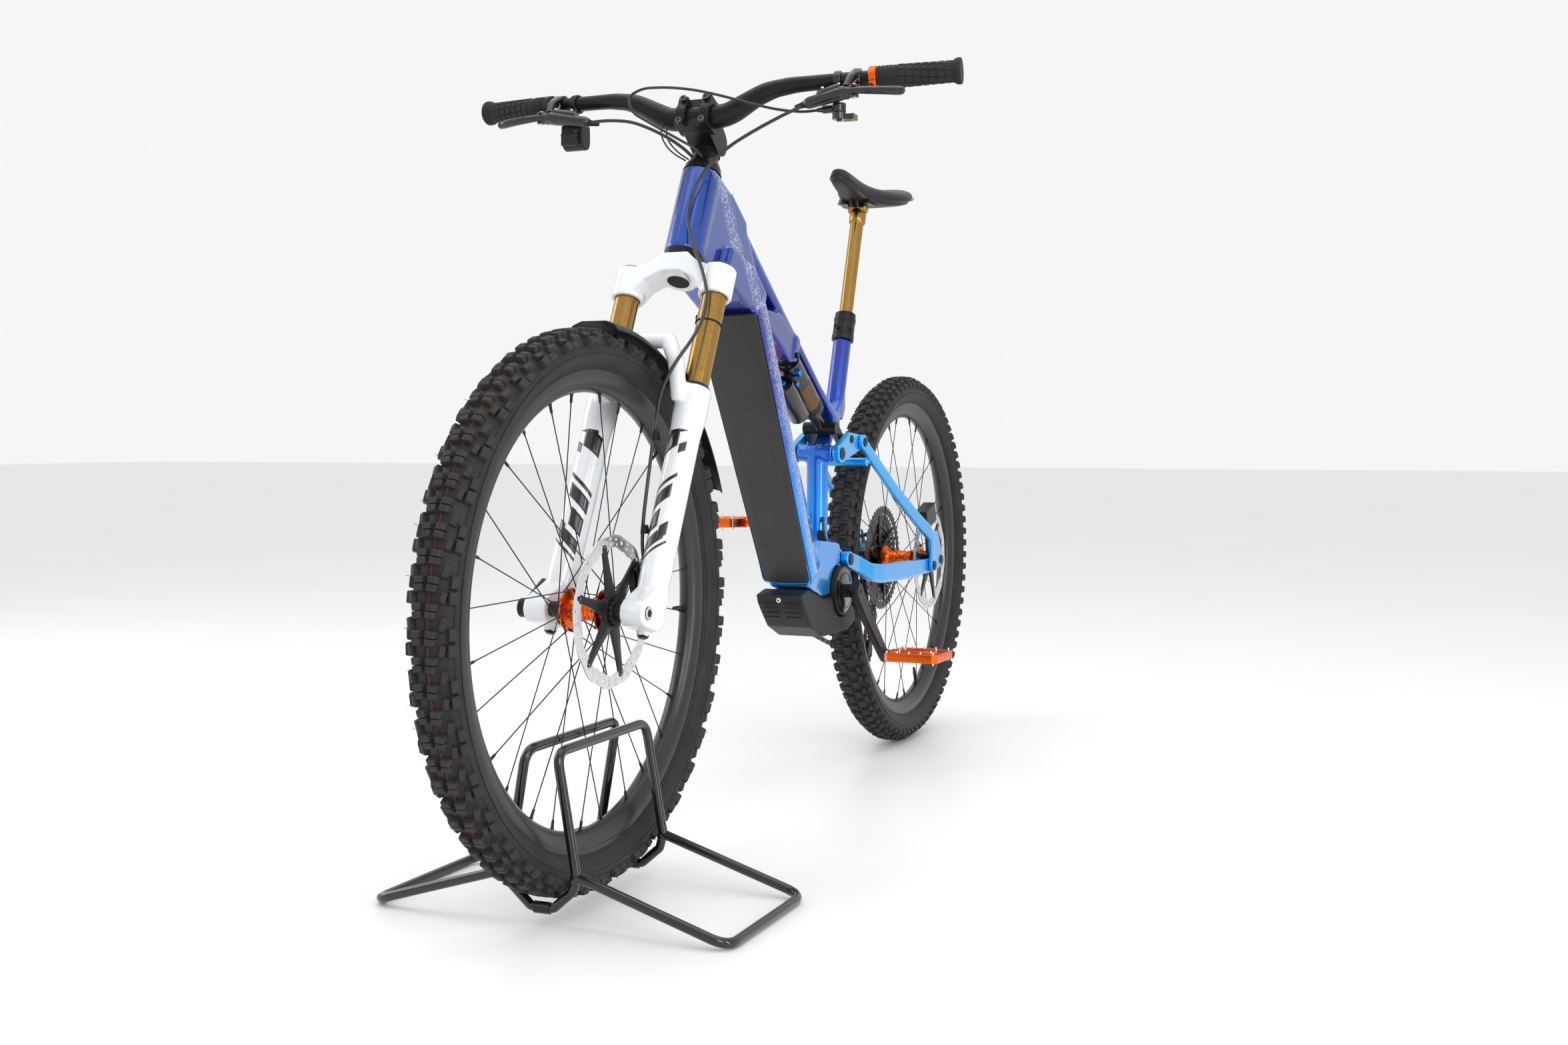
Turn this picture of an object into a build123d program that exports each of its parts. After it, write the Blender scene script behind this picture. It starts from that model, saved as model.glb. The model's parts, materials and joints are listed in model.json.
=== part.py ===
from build123d import *
import math
import os

os.makedirs("parts", exist_ok=True)

# ---------------------------------------------------------------- dimensions
TYRE_R = 372.0          # outer radius of both tyres, 29 x 2.4
TYRE_HW = 31.0          # tyre half width
TYRE_T = 4.0            # casing and tread thickness
BEAD_R = 311.0          # bead seat radius
RIM_R = 317.0           # rim flange radius
RIM_IN = 288.0          # inner apex of the rim
RIM_HW = 17.5           # rim half width
WHEELBASE = 1290.0      # axle to axle, frame size XL
LIFT = 18.7             # front axle stands this much higher, in the stand
HEAD_ANGLE = 65.0       # steering axis, degrees from level
RAKE = 44.0             # axle ahead of the steering axis
CROWN_BOT = 491.0       # bottom of the crown's legs, along the steering axis
CROWN_TOP = 537.0       # top of the crown's legs
SEAL_A = 343.0          # top of the fork lowers
LEG_Y = 70.5            # fork legs from the centre plane
LEG_O = 11.8            # fork legs ahead of the steering axis
STANCHION_R = 18.0      # 36 mm stanchions
FIT = 0.05              # radial running clearance
BAR_HALF = 393.5        # half of the handlebar's width
BAR_R = 11.1            # at the grips
BAR_CLAMP_R = 17.5      # at the stem
BB = (452.0, -32.5)     # crank axis: x, z
CRANK_LEN = 164.3
CRANK_DX, CRANK_DZ = -109.0, -123.0   # left arm, axis to pedal
MAIN_PIVOT = (425.0, 22.0)
HORST = (45.0, -10.0)
ROCKER_PIVOT = (477.0, 212.0)
ROCKER_STAY = (383.0, 233.0)
YOKE_PIVOT = (430.0, 238.0)
SHOCK_TOP = (628.0, 376.0)
SEAT_TOP = (273.0, 664.0)   # saddle clamp
SEAT_LOW = (385.0, 317.0)   # foot of the upper seat tube
POST_R = 12.5
ROTOR_R = 101.5
ROTOR_Y_F = 36.0        # front rotor mid plane
ROTOR_Y_R = 59.5        # rear rotor mid plane
SPOKES = 28
STAND_R = 6.5           # stand rod radius
STAND_XF, STAND_XR = 1410.6, 1172.7   # front and rear wire planes
STAND_FOOT_Y = 258.0
STAND_JY, STAND_JZ = 49.6, 70.2
STAND_TY, STAND_TZ = 22.5, 224.5
STAND_VZ = 25.6

XC = 644.93             # centre of the overall length, from the rear axle
PITCH = math.degrees(math.asin(LIFT / WHEELBASE))
HA = math.radians(HEAD_ANGLE)
UX, UZ = -math.cos(HA), math.sin(HA)      # up the steering axis
OX, OZ = math.sin(HA), math.cos(HA)       # ahead of it
FX, FZ = WHEELBASE - RAKE * OX, -RAKE * OZ

BIKE = Pos(-XC, 0, TYRE_R) * Rot(0, -PITCH, 0)
STEER = Pos(FX, 0, FZ) * Rot(0, -(90 - HEAD_ANGLE), 0)
FLOOR = Pos(-XC, 0, 0)
MINC = (Align.CENTER, Align.CENTER, Align.MIN)


# ------------------------------------------------------------------- helpers
def rod(p, q, r, r2=None):
    p, q = Vector(*p), Vector(*q)
    pl = Plane(origin=p, z_dir=(q - p))
    h = (q - p).length
    if r2 is None or abs(r - r2) < 1e-6:
        return pl * Cylinder(r, h, align=MINC)
    return pl * Cone(r, r2, h, align=MINC)


def ball(p, r):
    return Pos(*p) * Sphere(r)


def ycyl(x, z, r, y0, y1):
    return rod((x, y0, z), (x, y1, z), r)


def poly_face(pts):
    return Face(Wire.make_polygon([Vector(*p) for p in pts], close=True))


def prism(pts, y0, y1):
    """Polygon in x, z pushed out along y from y0 to y1."""
    f = poly_face([(x, y0, z) for x, z in pts])
    s = extrude(f, amount=y1 - y0, dir=(0, 1, 0))
    return s


def prism_x(pts, x0, x1):
    """Polygon in y, z pushed out along x."""
    f = poly_face([(x0, y, z) for y, z in pts])
    return extrude(f, amount=x1 - x0, dir=(1, 0, 0))


def hull2(circles, n=24):
    """Convex outline of a few circles given as (x, z, r)."""
    pts = []
    for cx, cz, r in circles:
        for k in range(n):
            a = 2 * math.pi * k / n
            pts.append((cx + r * math.cos(a), cz + r * math.sin(a)))
    pts = sorted(set((round(x, 4), round(z, 4)) for x, z in pts))

    def half(ps):
        out = []
        for p in ps:
            while len(out) > 1 and ((out[-1][0] - out[-2][0]) * (p[1] - out[-2][1]) - (out[-1][1] - out[-2][1]) * (p[0] - out[-2][0])) <= 1e-3:
                out.pop()
            out.append(p)
        return out
    a, b = half(pts), half(pts[::-1])
    return a[:-1] + b[:-1]


def link(circles, y0, y1, n=24):
    return prism(hull2(circles, n), y0, y1)


def rect_loft(secs):
    """Ruled loft through chamfered rectangles in y, z planes: x, yc, zc, hy, hz."""
    wires = []
    for x, yc, zc, hy, hz in secs:
        c = 0.45 * min(hy, hz)
        p = [(hy, hz - c), (hy - c, hz), (-hy + c, hz), (-hy, hz - c), (-hy, -hz + c), (-hy + c, -hz), (hy - c, -hz), (hy, -hz + c)]
        wires.append(Wire.make_polygon([Vector(x, yc + a, zc + b) for a, b in p], close=True))
    return Solid.make_loft(wires, ruled=True)


def mirrored(s):
    return mirror(s, about=Plane.XZ)


def both(s):
    return [s, mirrored(s)]


def box(x0, x1, y0, y1, z0, z1):
    return Pos((x0 + x1) / 2, (y0 + y1) / 2, (z0 + z1) / 2) * Box(x1 - x0, y1 - y0, z1 - z0)


def spin(pts):
    """Turn a closed outline of (radius, y) about the y axis."""
    f = poly_face([(r, y, 0) for r, y in pts])
    return revolve(f, axis=Axis.Y, revolution_arc=360)


def route(pts, r, name=""):
    """A hose: straight runs joined by arcs as large as the runs allow."""
    v = [Vector(*p) for p in pts]
    rad = []
    for i in range(1, len(v) - 1):
        a, b = v[i] - v[i - 1], v[i + 1] - v[i]
        turn = math.radians(a.get_angle(b))
        rad.append(0.45 * min(a.length, b.length) / math.tan(turn / 2))
    path = FilletPolyline(*v, radius=rad)
    w = path.wire() if hasattr(path, "wire") else Wire(path.edges())
    start = Plane(origin=w @ 0, z_dir=w % 0)
    s = sweep(start * Circle(r), path=w)
    want = math.pi * r * r * w.length
    print("hose", name, "length", round(w.length, 1), "volume ratio", round(s.volume / want, 4), "radii", [round(x) for x in rad])
    return s


def fuse(*parts):
    out = None
    for p in parts:
        out = p if out is None else out + p
    return out


def solids_of(obj):
    if isinstance(obj, (list, tuple)):
        res = []
        for o in obj:
            res += solids_of(o)
        return res
    return list(obj.solids())


def save(name, obj, place):
    sol = [place * s for s in solids_of(obj)]
    if len(sol) == 1:
        shape = sol[0]
    else:
        shape = Compound(children=[Solid(s.wrapped) if not isinstance(s, Solid) else s for s in sol])
    shape.label = name
    export_step(shape, "parts/%s.step" % name)


# -------------------------------------------------------------------- wheels
def tyre():
    o = [(BEAD_R, -RIM_HW + 4.6), (RIM_R + 0.2, -RIM_HW + 4.6), (RIM_R + 0.2, -RIM_HW), (330, -27), (345, -TYRE_HW), (356, -TYRE_HW), (367, -25), (371, -14), (TYRE_R, -7)]
    i = [(BEAD_R, -RIM_HW + 8.5), (324, -17), (338, -25), (350, -26.5), (360, -22), (365, -12), (366, -6)]
    outer = o + [(r, -y) for r, y in o[::-1]]
    inner = i + [(r, -y) for r, y in i[::-1]]
    return spin(outer + inner[::-1])


def rim():
    h = RIM_HW
    return spin([(RIM_R, -h), (RIM_R, -h + 4.5), (BEAD_R, -h + 4.5), (BEAD_R, h - 4.5), (RIM_R, h - 4.5), (RIM_R, h), (300, h - 2), (RIM_IN, 7), (RIM_IN, -7), (300, -h + 2)])


def spokes(yl, yr, fr, phase, off=3.0):
    """Straight spokes of 2 mm wire, leading and trailing beside each flange."""
    out = []
    for k in range(SPOKES):
        left = k % 2 == 0
        lead = (k // 2) % 2 == 0
        a = math.radians(phase + 360.0 * k / SPOKES)
        b = a + math.radians(64 if lead else -64)
        y0 = (yl if left else yr) + (off if lead else -off)
        y1 = 2.5 if left else -2.5
        out.append(rod((fr * math.cos(b), y0, fr * math.sin(b)), ((RIM_IN - 0.4) * math.cos(a), y1, (RIM_IN - 0.4) * math.sin(a)), 1.0))
    return out


def rotor(y, r_in):
    ring = spin([(84, y - 0.95), (ROTOR_R, y - 0.95), (ROTOR_R, y + 0.95), (84, y + 0.95)])
    hubp = spin([(r_in, y - 2), (24, y - 2), (24, y + 2), (r_in, y + 2)])
    arms = None
    for k in range(6):
        a = 360 * k / 6 + 15
        arm = Rot(0, a, 0) * box(20, 86, y - 0.95, y + 0.95, -5, 5)
        arms = arm if arms is None else arms + arm
    return ring + hubp + arms


front_hub = spin([(7.5 + FIT, -54.8), (10.5, -54.8), (10.5, -36), (15, -34), (15, -28.7), (29, -28.7), (29, -25.5), (13, -23), (13, 20), (29, 22.5), (29, 25.7), (15, 25.7), (15, 33.7), (10.5, 33.9), (10.5, 54.8), (7.5 + FIT, 54.8)])
rear_hub = spin([(6 + FIT, -38), (16, -38), (29, -36.6), (29, -33.4), (15, -30), (15, 30), (29, 33.4), (29, 36.6), (17, 39), (17, 57.3), (10.5, 57.5), (10.5, 74), (6 + FIT, 74)])
FW = STEER * Pos(RAKE, 0, 0)
save("front_tyre", tyre(), BIKE * FW)
save("front_rim", rim(), BIKE * FW)
save("front_hub", front_hub, BIKE * FW)
save("front_spokes", spokes(24.1, -27.1, 27.5, 90 + 6.43 + 25), BIKE * FW)
save("front_rotor", rotor(ROTOR_Y_F, 15.05), BIKE * FW)
save("rear_tyre", tyre(), BIKE)
save("rear_rim", rim(), BIKE)
save("rear_hub", rear_hub, BIKE)
save("rear_spokes", spokes(35, -35, 27.5, 90 + 6.43, 3.3), BIKE)
save("rear_rotor", rotor(ROTOR_Y_R, 10.55), BIKE)

# -------------------------------------------------- fork, in the steering frame
# local x ahead of the steering axis, local z up along it
leg = rod((LEG_O, LEG_Y, 300), (LEG_O, LEG_Y, SEAL_A), 24) + rod((LEG_O, LEG_Y, 268), (LEG_O, LEG_Y, 300), 21.5, 24) + rod((LEG_O, LEG_Y, 60), (LEG_O, LEG_Y, 270), 21.5) + rod((LEG_O, LEG_Y, -6), (LEG_O, LEG_Y, 62), 19, 21.5)
drop = link([(RAKE, 0, 19), (LEG_O + 2, 34, 17), (LEG_O, 2, 16)], 56, 90)
foot = rod((LEG_O, LEG_Y, -22), (LEG_O, LEG_Y, -5), 9)
bore = rod((LEG_O, LEG_Y, 20), (LEG_O, LEG_Y, SEAL_A + 1), STANCHION_R + FIT)
axle_bore = ycyl(RAKE, 0, 7.5 + FIT, 50, 95)
side = (leg + drop + foot) - bore - axle_bore
arch = fuse(rod((30, 60, 318), (56, 56, 366), 11.5), ball((56, 56, 366), 11.5), rod((56, 56, 366), (60, 40, 396), 11.5), ball((60, 40, 396), 11.5), rod((60, 40, 396), (60, -40, 396), 11.5), ball((60, -40, 396), 11.5), rod((60, -40, 396), (56, -56, 366), 11.5), ball((56, -56, 366), 11.5), rod((56, -56, 366), (30, -60, 318), 11.5))
post_mount = box(-34, 8, 49.3, 60, 78, 92) + box(-34, 4, 49.3, 58, 30, 44)
bores = bore + mirrored(bore)
lowers = (side + mirrored(side) + arch + post_mount) - bores
save("fork_lowers", lowers, BIKE * STEER)
front_axle = ycyl(RAKE, 0, 7.5, -94, 90.5) + ycyl(RAKE, 0, 13, -102, -90.3) + (Pos(RAKE, 0, 0) * Rot(0, -125, 0) * Pos(-RAKE, 0, 0)) * box(RAKE, RAKE + 62, -101.5, -94.5, -6, 6)
save("front_axle", front_axle, BIKE * STEER)
# mudguard: a thin arched sheet over the back of the tyre, about the front axle
mud_prof = [(369, -36), (376, -30), (381, -18), (381, 18), (376, 30), (369, 36)]
mud_out = [(370.5, -37.5), (378, -31), (383, -18.3), (383, 18.3), (378, 31), (370.5, 37.5)]
mf = poly_face([(r, y, 0) for r, y in mud_prof + mud_out[::-1]])
mud = Rot(0, -92, 0) * revolve(mf, axis=Axis.Y, revolution_arc=-64)
save("mudguard", mud, BIKE * Pos(WHEELBASE, 0, 0))
# front calliper: two halves and a bridge round the rotor, behind the left leg
cal_place = Pos(RAKE, 0, 0) * Rot(0, -138, 0)


def calliper(y, r0=72, hub=0):
    c = box(74, 112, y - 12, y + 13, -30, 30) - box(60, ROTOR_R + 3, y - 2.2, y + 2.2, -40, 40)
    return c


fc = cal_place * calliper(ROTOR_Y_F - 0.0)
save("front_calliper", fc - lowers, BIKE * STEER)

stanch = rod((LEG_O, LEG_Y, 178), (LEG_O, LEG_Y, CROWN_TOP - 3), STANCHION_R)
save("stanchions", both(stanch), BIKE * STEER)
cleg = rod((LEG_O, LEG_Y, CROWN_BOT), (LEG_O, LEG_Y, CROWN_TOP), 24.5) - rod((LEG_O, LEG_Y, CROWN_BOT - 1), (LEG_O, LEG_Y, CROWN_TOP - 3), STANCHION_R)
carm = extrude(poly_face([(-10, y, a) for y, a in [(0, 529), (14, 529), (40, 515), (55, 494), (60, 494), (60, 536), (40, 543), (22, 559), (0, 559)]]), amount=42, dir=(1, 0, 0)) - rod((LEG_O, LEG_Y, CROWN_BOT - 1), (LEG_O, LEG_Y, CROWN_TOP - 3), STANCHION_R)
centre = rod((0, 0, 527), (0, 0, 560), 28)
steerer = rod((0, 0, 527), (0, 0, 786), 15)
crown = (cleg + mirrored(cleg) + carm + mirrored(carm) + centre + steerer) - rod((0, 0, 526), (0, 0, 787), 11.5)
save("fork_crown", crown, BIKE * STEER)
BA, BO = 781.2, 46.4      # bar clamp, along and ahead of the steering axis
spacer = rod((0, 0, 735.3), (0, 0, 747), 19) - rod((0, 0, 730), (0, 0, 750), 15)
stem_b = (link([(0, 768, 20.5), (BO - 4, BA, 23)], -21, 21) + rod((0, 0, 747), (0, 0, 787), 20.5) + link([(BO - 2, BA, 24.5)], -27, 27)) - rod((0, 0, 740), (0, 0, 790), 15) - ycyl(BO, BA, BAR_CLAMP_R, -40, 40) - box(BO + 0.5, BO + 60, -60, 60, 700, 860)
cap = rod((0, 0, 787), (0, 0, 792), 18)
save("stem", [stem_b + spacer + cap], BIKE * STEER)
plate = (link([(BO, BA, 24.5)], -27, 27) + box(BO, BO + 22, -27, 27, BA - 24, BA + 24)) - ycyl(BO, BA, BAR_CLAMP_R, -40, 40) - box(BO - 60, BO + 1.0, -60, 60, 700, 860) - box(BO + 14, BO + 40, -12, 12, 700, 860)
save("stem_faceplate", plate, BIKE * STEER)

# handlebar, controls and hoses, in the level frame of the bicycle
BX, BZ = FX + BA * UX + BO * OX, FZ + BA * UZ + BO * OZ
BARP = [(BX, 0, BZ, 17.5), (BX, 34, BZ, 17.3), (BX - 1, 56, BZ + 5, 16.8), (BX - 4, 100, BZ + 27, 14.2), (BX - 7, 135, BZ + 36, 12.4), (BX - 13, 190, BZ + 39.5, BAR_R), (BX - 41.5, BAR_HALF - 2.5, BZ + 45, BAR_R)]


def bar_half():
    out = ball(BARP[1][:3], 17.9)
    for (x0, y0, z0, r0), (x1, y1, z1, r1) in zip(BARP[1:], BARP[2:]):
        out = out + rod((x0, y0, z0), (x1, y1, z1), r0, r1)
        if y1 < 300:
            out = out + ball((x1, y1, z1), r1 + 0.25)
    return out


hb = bar_half()
bar = ycyl(BX, BZ, 17.5, -36, 36) + hb + mirrored(hb)
save("handlebar", bar, BIKE)
P190, P391 = Vector(*BARP[5][:3]), Vector(*BARP[6][:3])


def bar_pt(y):
    t = (y - P190.Y) / (P391.Y - P190.Y)
    v = P190 + (P391 - P190) * t
    return (v.X, v.Y, v.Z)


def ring_on_bar(y0, y1, r):
    return rod(bar_pt(y0), bar_pt(y1), r) - rod(bar_pt(y0 - 2), bar_pt(y1 + 2), BAR_R)


grip = rod(bar_pt(274), bar_pt(BAR_HALF - 5), 16) + rod(bar_pt(BAR_HALF - 5), bar_pt(BAR_HALF), 18.5) - rod(bar_pt(270), bar_pt(BAR_HALF - 2.5), BAR_R)
gripcol = ring_on_bar(262, 274, 17)
save("grips", both(grip), BIKE)
save("grip_collars", both(gripcol), BIKE)

# brake masters: clamp round the bar, a slim cylinder ahead of and below it
MCY = (978.0, 182.0, 713.0)
MCP = (986.0, 256.0, 723.0)     # lever pivot
master = (ring_on_bar(240, 251, 15.5) + rod(MCY, (984, 244, 722), 8) + ball((984, 244, 722), 9.5) + rod((984, 242, 722), (952, 245, 744), 7) + rod((984, 244, 722), (MCP[0], MCP[1], MCP[2]), 8)) - rod(bar_pt(190), bar_pt(300), BAR_R)
master = master - rod((MCP[0], MCP[1], MCP[2] - 30), (MCP[0], MCP[1], MCP[2] + 30), 6.3) - box(MCP[0] - 30, MCP[0] + 30, MCP[1] - 3.0, MCP[1] + 40, MCP[2] - 5.4, MCP[2] + 5.4)
pin = rod((MCP[0], MCP[1], MCP[2] - 9), (MCP[0], MCP[1], MCP[2] + 9), 3.0)
ears = rod((MCP[0], MCP[1], MCP[2] - 9), (MCP[0], MCP[1], MCP[2] - 5.6), 7) + rod((MCP[0], MCP[1], MCP[2] + 5.6), (MCP[0], MCP[1], MCP[2] + 9), 7) + rod((984, 244, MCP[2] - 7.2), (MCP[0], MCP[1], MCP[2] - 7.2), 1.8) + rod((984, 244, MCP[2] + 7.2), (MCP[0], MCP[1], MCP[2] + 7.2), 1.8)
master = master + ears + pin
save("brake_masters", both(master), BIKE)
lever = rod((MCP[0], MCP[1], MCP[2] - 5), (MCP[0], MCP[1], MCP[2] + 5), 6.0) + extrude(poly_face([(MCP[0] + 3, MCP[1] + 1, MCP[2] - 4.5), (MCP[0] + 8, MCP[1] + 16, MCP[2] - 4.5), (MCP[0] + 2, MCP[1] + 74, MCP[2] - 4.5), (MCP[0] - 6, MCP[1] + 74, MCP[2] - 4.5), (MCP[0] - 3, MCP[1] + 16, MCP[2] - 4.5)]), amount=9, dir=(0, 0, 1))
lever = lever - rod((MCP[0], MCP[1], MCP[2] - 9), (MCP[0], MCP[1], MCP[2] + 9), 3.0 + FIT)
save("brake_lever_left", lever, BIKE)
save("brake_lever_right", mirrored(lever), BIKE)

# shifter pod under the right grip end, dropper remote under the left
pod = (ring_on_bar(212, 222, 14.5) + link([(955, 707, 14), (954, 689, 13)], 196, 232) + rod((951, 217, 742), (955, 217, 712), 6)) - rod(bar_pt(190), bar_pt(300), BAR_R)
pod = mirrored(pod)
save("shifter_pod", pod, BIKE)
paddle = mirrored(link([(973.3, 697, 3.4), (974, 684, 3.4)], 201, 227) + ycyl(973.3, 697, 3.8, 200.5, 227.5))
save("shift_lever", paddle, BIKE)
RP = (966.0, 226.0, 694.0)   # dropper lever pivot
remote = (ring_on_bar(212, 222, 14.5) + rod((951, 217, 742), (960, 219, 712), 5) + rod((966, 226, 699.3), (966, 226, 712), 10) + rod((966, 226, 705.5), (962, 200, 706), 6) + rod(RP, (966, 226, 705), 3)) - rod(bar_pt(190), bar_pt(300), BAR_R)
save("dropper_remote", remote, BIKE)
dlev = (rod((966, 226, 689), (966, 226, 699), 10) + box(948, 966, 226, 248, 689, 697)) - rod((966, 226, 680), (966, 226, 702), 3 + FIT)
save("dropper_lever", dlev, BIKE)

HOSE_R = 2.5
fh = route([(MCY[0] - 1, MCY[1] - 1, MCY[2] - 0.3), (983, 150, 700), (990, 108, 680), (996, 66, 657), (1004, 34, 628), (1014, 17, 592), (1029, 15, 552), (1048, 33, 510), (1066, 58, 470), (1088, 77, 430), (1110, 80, 396), (1140, 78, 366), (1164, 66, 336), (1176, 48, 296), (1184, 42.5, 240), (1196, 42.5, 196), (1207, 42.3, 154), (1216, 42.2, 116), (1218, 42, 82), (1210.9, 42, 56.2)], HOSE_R, "front brake")
save("front_brake_hose", fh, BIKE)
rb = route([(MCY[0] - 1, -MCY[1] + 1, MCY[2] - 0.3), (984, -140, 712), (988, -98, 706), (990, -62, 691), (991, -32, 675), (985, -12, 660), (970, -5, 650)], HOSE_R, "rear brake")
save("rear_brake_hose", rb, BIKE)
dc = route([(962, 197, 706), (966, 170, 704), (976, 135, 708), (990, 95, 718), (1001, 52, 731), (1006, 8, 742), (1007, -34, 748), (1008, -70, 749), (1010, -94, 738), (1010, -86, 714), (1006, -54, 695), (1000, -18, 674), (987, 6, 660), (970, 9, 650)], 2.0, "dropper cable")
w1 = route([(974.8, -52, 699.6), (981, -53, 692), (984, -50, 680), (983, -42, 665), (977, -31, 654), (963.5, -20, 647)], 1.2, "wire 1")
w2 = route([(975.6, -44, 697.2), (981, -44, 690), (984.5, -41, 678), (984.5, -33, 666), (979, -23, 655), (966.5, -14, 648)], 1.2, "wire 2")
save("control_cables", [dc, w1, w2], BIKE)

# ------------------------------------------------------------- front triangle
head = rod((0, 0, 570), (0, 0, 711), 30.4)
head_l = STEER * head
head_bore = STEER * rod((0, 0, 560), (0, 0, 720), 22)
DT0 = (610.0, -10.0)
DTL = 503.1
tx, tz = 254.5 / DTL, 434.0 / DTL
nx, nz = -tz, tx


def dt(s, d):
    return (DT0[0] + tx * s + nx * d, DT0[1] + tz * s + nz * d)


def dt_wire(s, hw, rw, d, front=5.0):
    pts = [(-hw + 8, front), (hw - 8, front), (hw, front + 8), (hw, 0.45 * d), (rw, d), (-rw, d), (-hw, 0.45 * d), (-hw, front + 8)]
    out = []
    for y, dd in pts:
        x, z = dt(s, dd)
        out.append(Vector(x, y, z))
    return Wire.make_polygon(out, close=True)


down = Solid.make_loft([dt_wire(-4, 45, 36, 72), dt_wire(120, 48, 32, 78), dt_wire(300, 52, 28, 84), dt_wire(506, 55, 25, 86)], ruled=True)
neck = prism([(868, 432), (1005.6, 494.3), (1012, 500), (952, 640), (938, 632), (923, 621), (846, 568), (846, 556), (773, 445), (800, 432)], -29, 29)
gus = prism([(866, 431), (960, 473.5), (930, 520), (850, 500), (800, 462), (810, 435)], -44, 44)
top = rect_loft([(930, 0, 606, 26, 20), (846, 0, 555, 23, 14), (700, 0, 457.5, 20, 11.5), (590, 0, 386.5, 19, 8.0), (500, 0, 325, 18, 7.5), (405, 0, 268, 17, 14)])
brace = prism([(782, 452), (772, 446), (694, 441), (633, 410), (618, 404), (614, 390), (622, 368), (645, 362), (690, 390), (748, 418), (770, 425)], -20, 20)
sd = Vector(SEAT_TOP[0] - SEAT_LOW[0], 0, SEAT_TOP[1] - SEAT_LOW[1]).normalized()


def seat(z):
    t = (z - SEAT_LOW[1]) / sd.Z
    return (SEAT_LOW[0] + sd.X * t, 0, z)


upper = rod(seat(283), seat(421), 17)
foot_j = prism([(404, 252), (436, 271), (418, 292), (398, 310), (375, 318), (372, 296), (388, 270)], -16, 16)
strut = prism([(464, 198), (446, 210), (384, 286), (398, 300), (420, 282), (437, 262), (450, 240), (470, 226)], -12, 12)
lower_st = rod((473, 0, 20), (473, 0, 226), 19)
tee = ycyl(ROCKER_PIVOT[0], ROCKER_PIVOT[1], 15, -34.4, 34.4)
def sh0(s):
    """A point s down the shock's axis."""
    ax, az = YOKE_PIVOT[0] - SHOCK_TOP[0], YOKE_PIVOT[1] - SHOCK_TOP[1]
    n = math.hypot(ax, az)
    return (SHOCK_TOP[0] + ax / n * s, 0, SHOCK_TOP[1] + az / n * s)


shell = prism([(604, -16), (552, 62), (500, 58), (440, 48), (412, 34), (411, 10), (440, -32), (540, -38)], -30.5, 30.5) + prism([(604, -16), (552, 62), (500, 58), (450, 52), (447, 0), (452, -34), (540, -38)], -36.5, 36.5)
lug = ycyl(MAIN_PIVOT[0], MAIN_PIVOT[1], 15, -30.5, 30.5) + link([(MAIN_PIVOT[0], MAIN_PIVOT[1], 15), (470, 40, 18)], -30.5, 30.5)
shock_ears = link([(SHOCK_TOP[0], SHOCK_TOP[1], 12), (SHOCK_TOP[0] - 6, SHOCK_TOP[1] + 22, 12)], -24, 24)
shock_slot = link([(SHOCK_TOP[0], SHOCK_TOP[1], 15), (SHOCK_TOP[0] + 6, SHOCK_TOP[1] - 30, 22), (SHOCK_TOP[0] - 60, SHOCK_TOP[1] - 42, 20)], -15.3, 15.3)
motor_core = link([(BB[0], BB[1], 42), (528, -26, 36)], -33, 33)
motor_gap = link([(BB[0], BB[1], 44.4), (528, -26, 36.4)], -33.4, 33.4)
cover_gap = ycyl(BB[0], BB[1], 46.4, -60, -26.6) + ycyl(BB[0], BB[1], 46.4, 26.6, 60)
bay_pts = [dt(22, -5), dt(22, 64), dt(470, 64), dt(470, -5)]
bay = prism(bay_pts, -37, 37)
frame = fuse(head_l, neck, gus, down, top, brace, upper, foot_j, strut, lower_st, tee, shell, lug, shock_ears)
ends = STEER * (rod((0, 0, 520), (0, 0, 570), 70) + rod((0, 0, 711), (0, 0, 760), 60))
frame = frame - ends - head_bore - bay - motor_gap - cover_gap
frame = frame - rod(sh0(9), sh0(175), 24)
frame = frame - link([(377, 245, 9.6), (385, 256, 9.6), (393.7, 266.4, 9.6)], -58, 58)   # recess for the seatstay bridge at full travel
post_bore = rod(seat(296), seat(430), POST_R + FIT)
frame = frame - post_bore - ycyl(ROCKER_PIVOT[0], ROCKER_PIVOT[1], 8 + FIT, -40, 40) - ycyl(MAIN_PIVOT[0], MAIN_PIVOT[1], 7.5, -40, 40) - shock_slot - ycyl(SHOCK_TOP[0], SHOCK_TOP[1], 5, -30, 30)
save("front_triangle", frame, BIKE)
save("battery_pack", prism([dt(24, 6.5), dt(24, 63), dt(468, 63), dt(468, 6.5)], -36, 36), BIKE)
cov = Solid.make_loft([Wire.make_polygon([Vector(dt(2, 0.0)[0], y, dt(2, 0.0)[1]) for y in (-41, 41)] + [Vector(dt(2, 4.8)[0], y, dt(2, 4.8)[1]) for y in (43, -43)], close=True),
                       Wire.make_polygon([Vector(dt(DTL, 0.0)[0], y, dt(DTL, 0.0)[1]) for y in (-51, 51)] + [Vector(dt(DTL, 4.8)[0], y, dt(DTL, 4.8)[1]) for y in (53, -53)], close=True)], ruled=True)
save("battery_cover", cov, BIKE)
motor = motor_core + ycyl(BB[0], BB[1], 44, 27, 45) + ycyl(BB[0], BB[1], 44, -45, -27)
motor = motor - ycyl(BB[0], BB[1], 12 + FIT, -60, 60)
save("motor_unit", motor, BIKE)
skid = prism([(612, -20), (648, -28), (640, -45), (600, -86), (549, -107), (425, -106), (383, -92), (390, -70), (425, -45), (452, -40.5), (540, -40.5)], -42, 42) - motor_gap - ycyl(BB[0], BB[1], 46.6, -60, 60) - ycyl(MAIN_PIVOT[0], MAIN_PIVOT[1], 20, -60, 60)
save("skid_plate", skid, BIKE)
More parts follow.
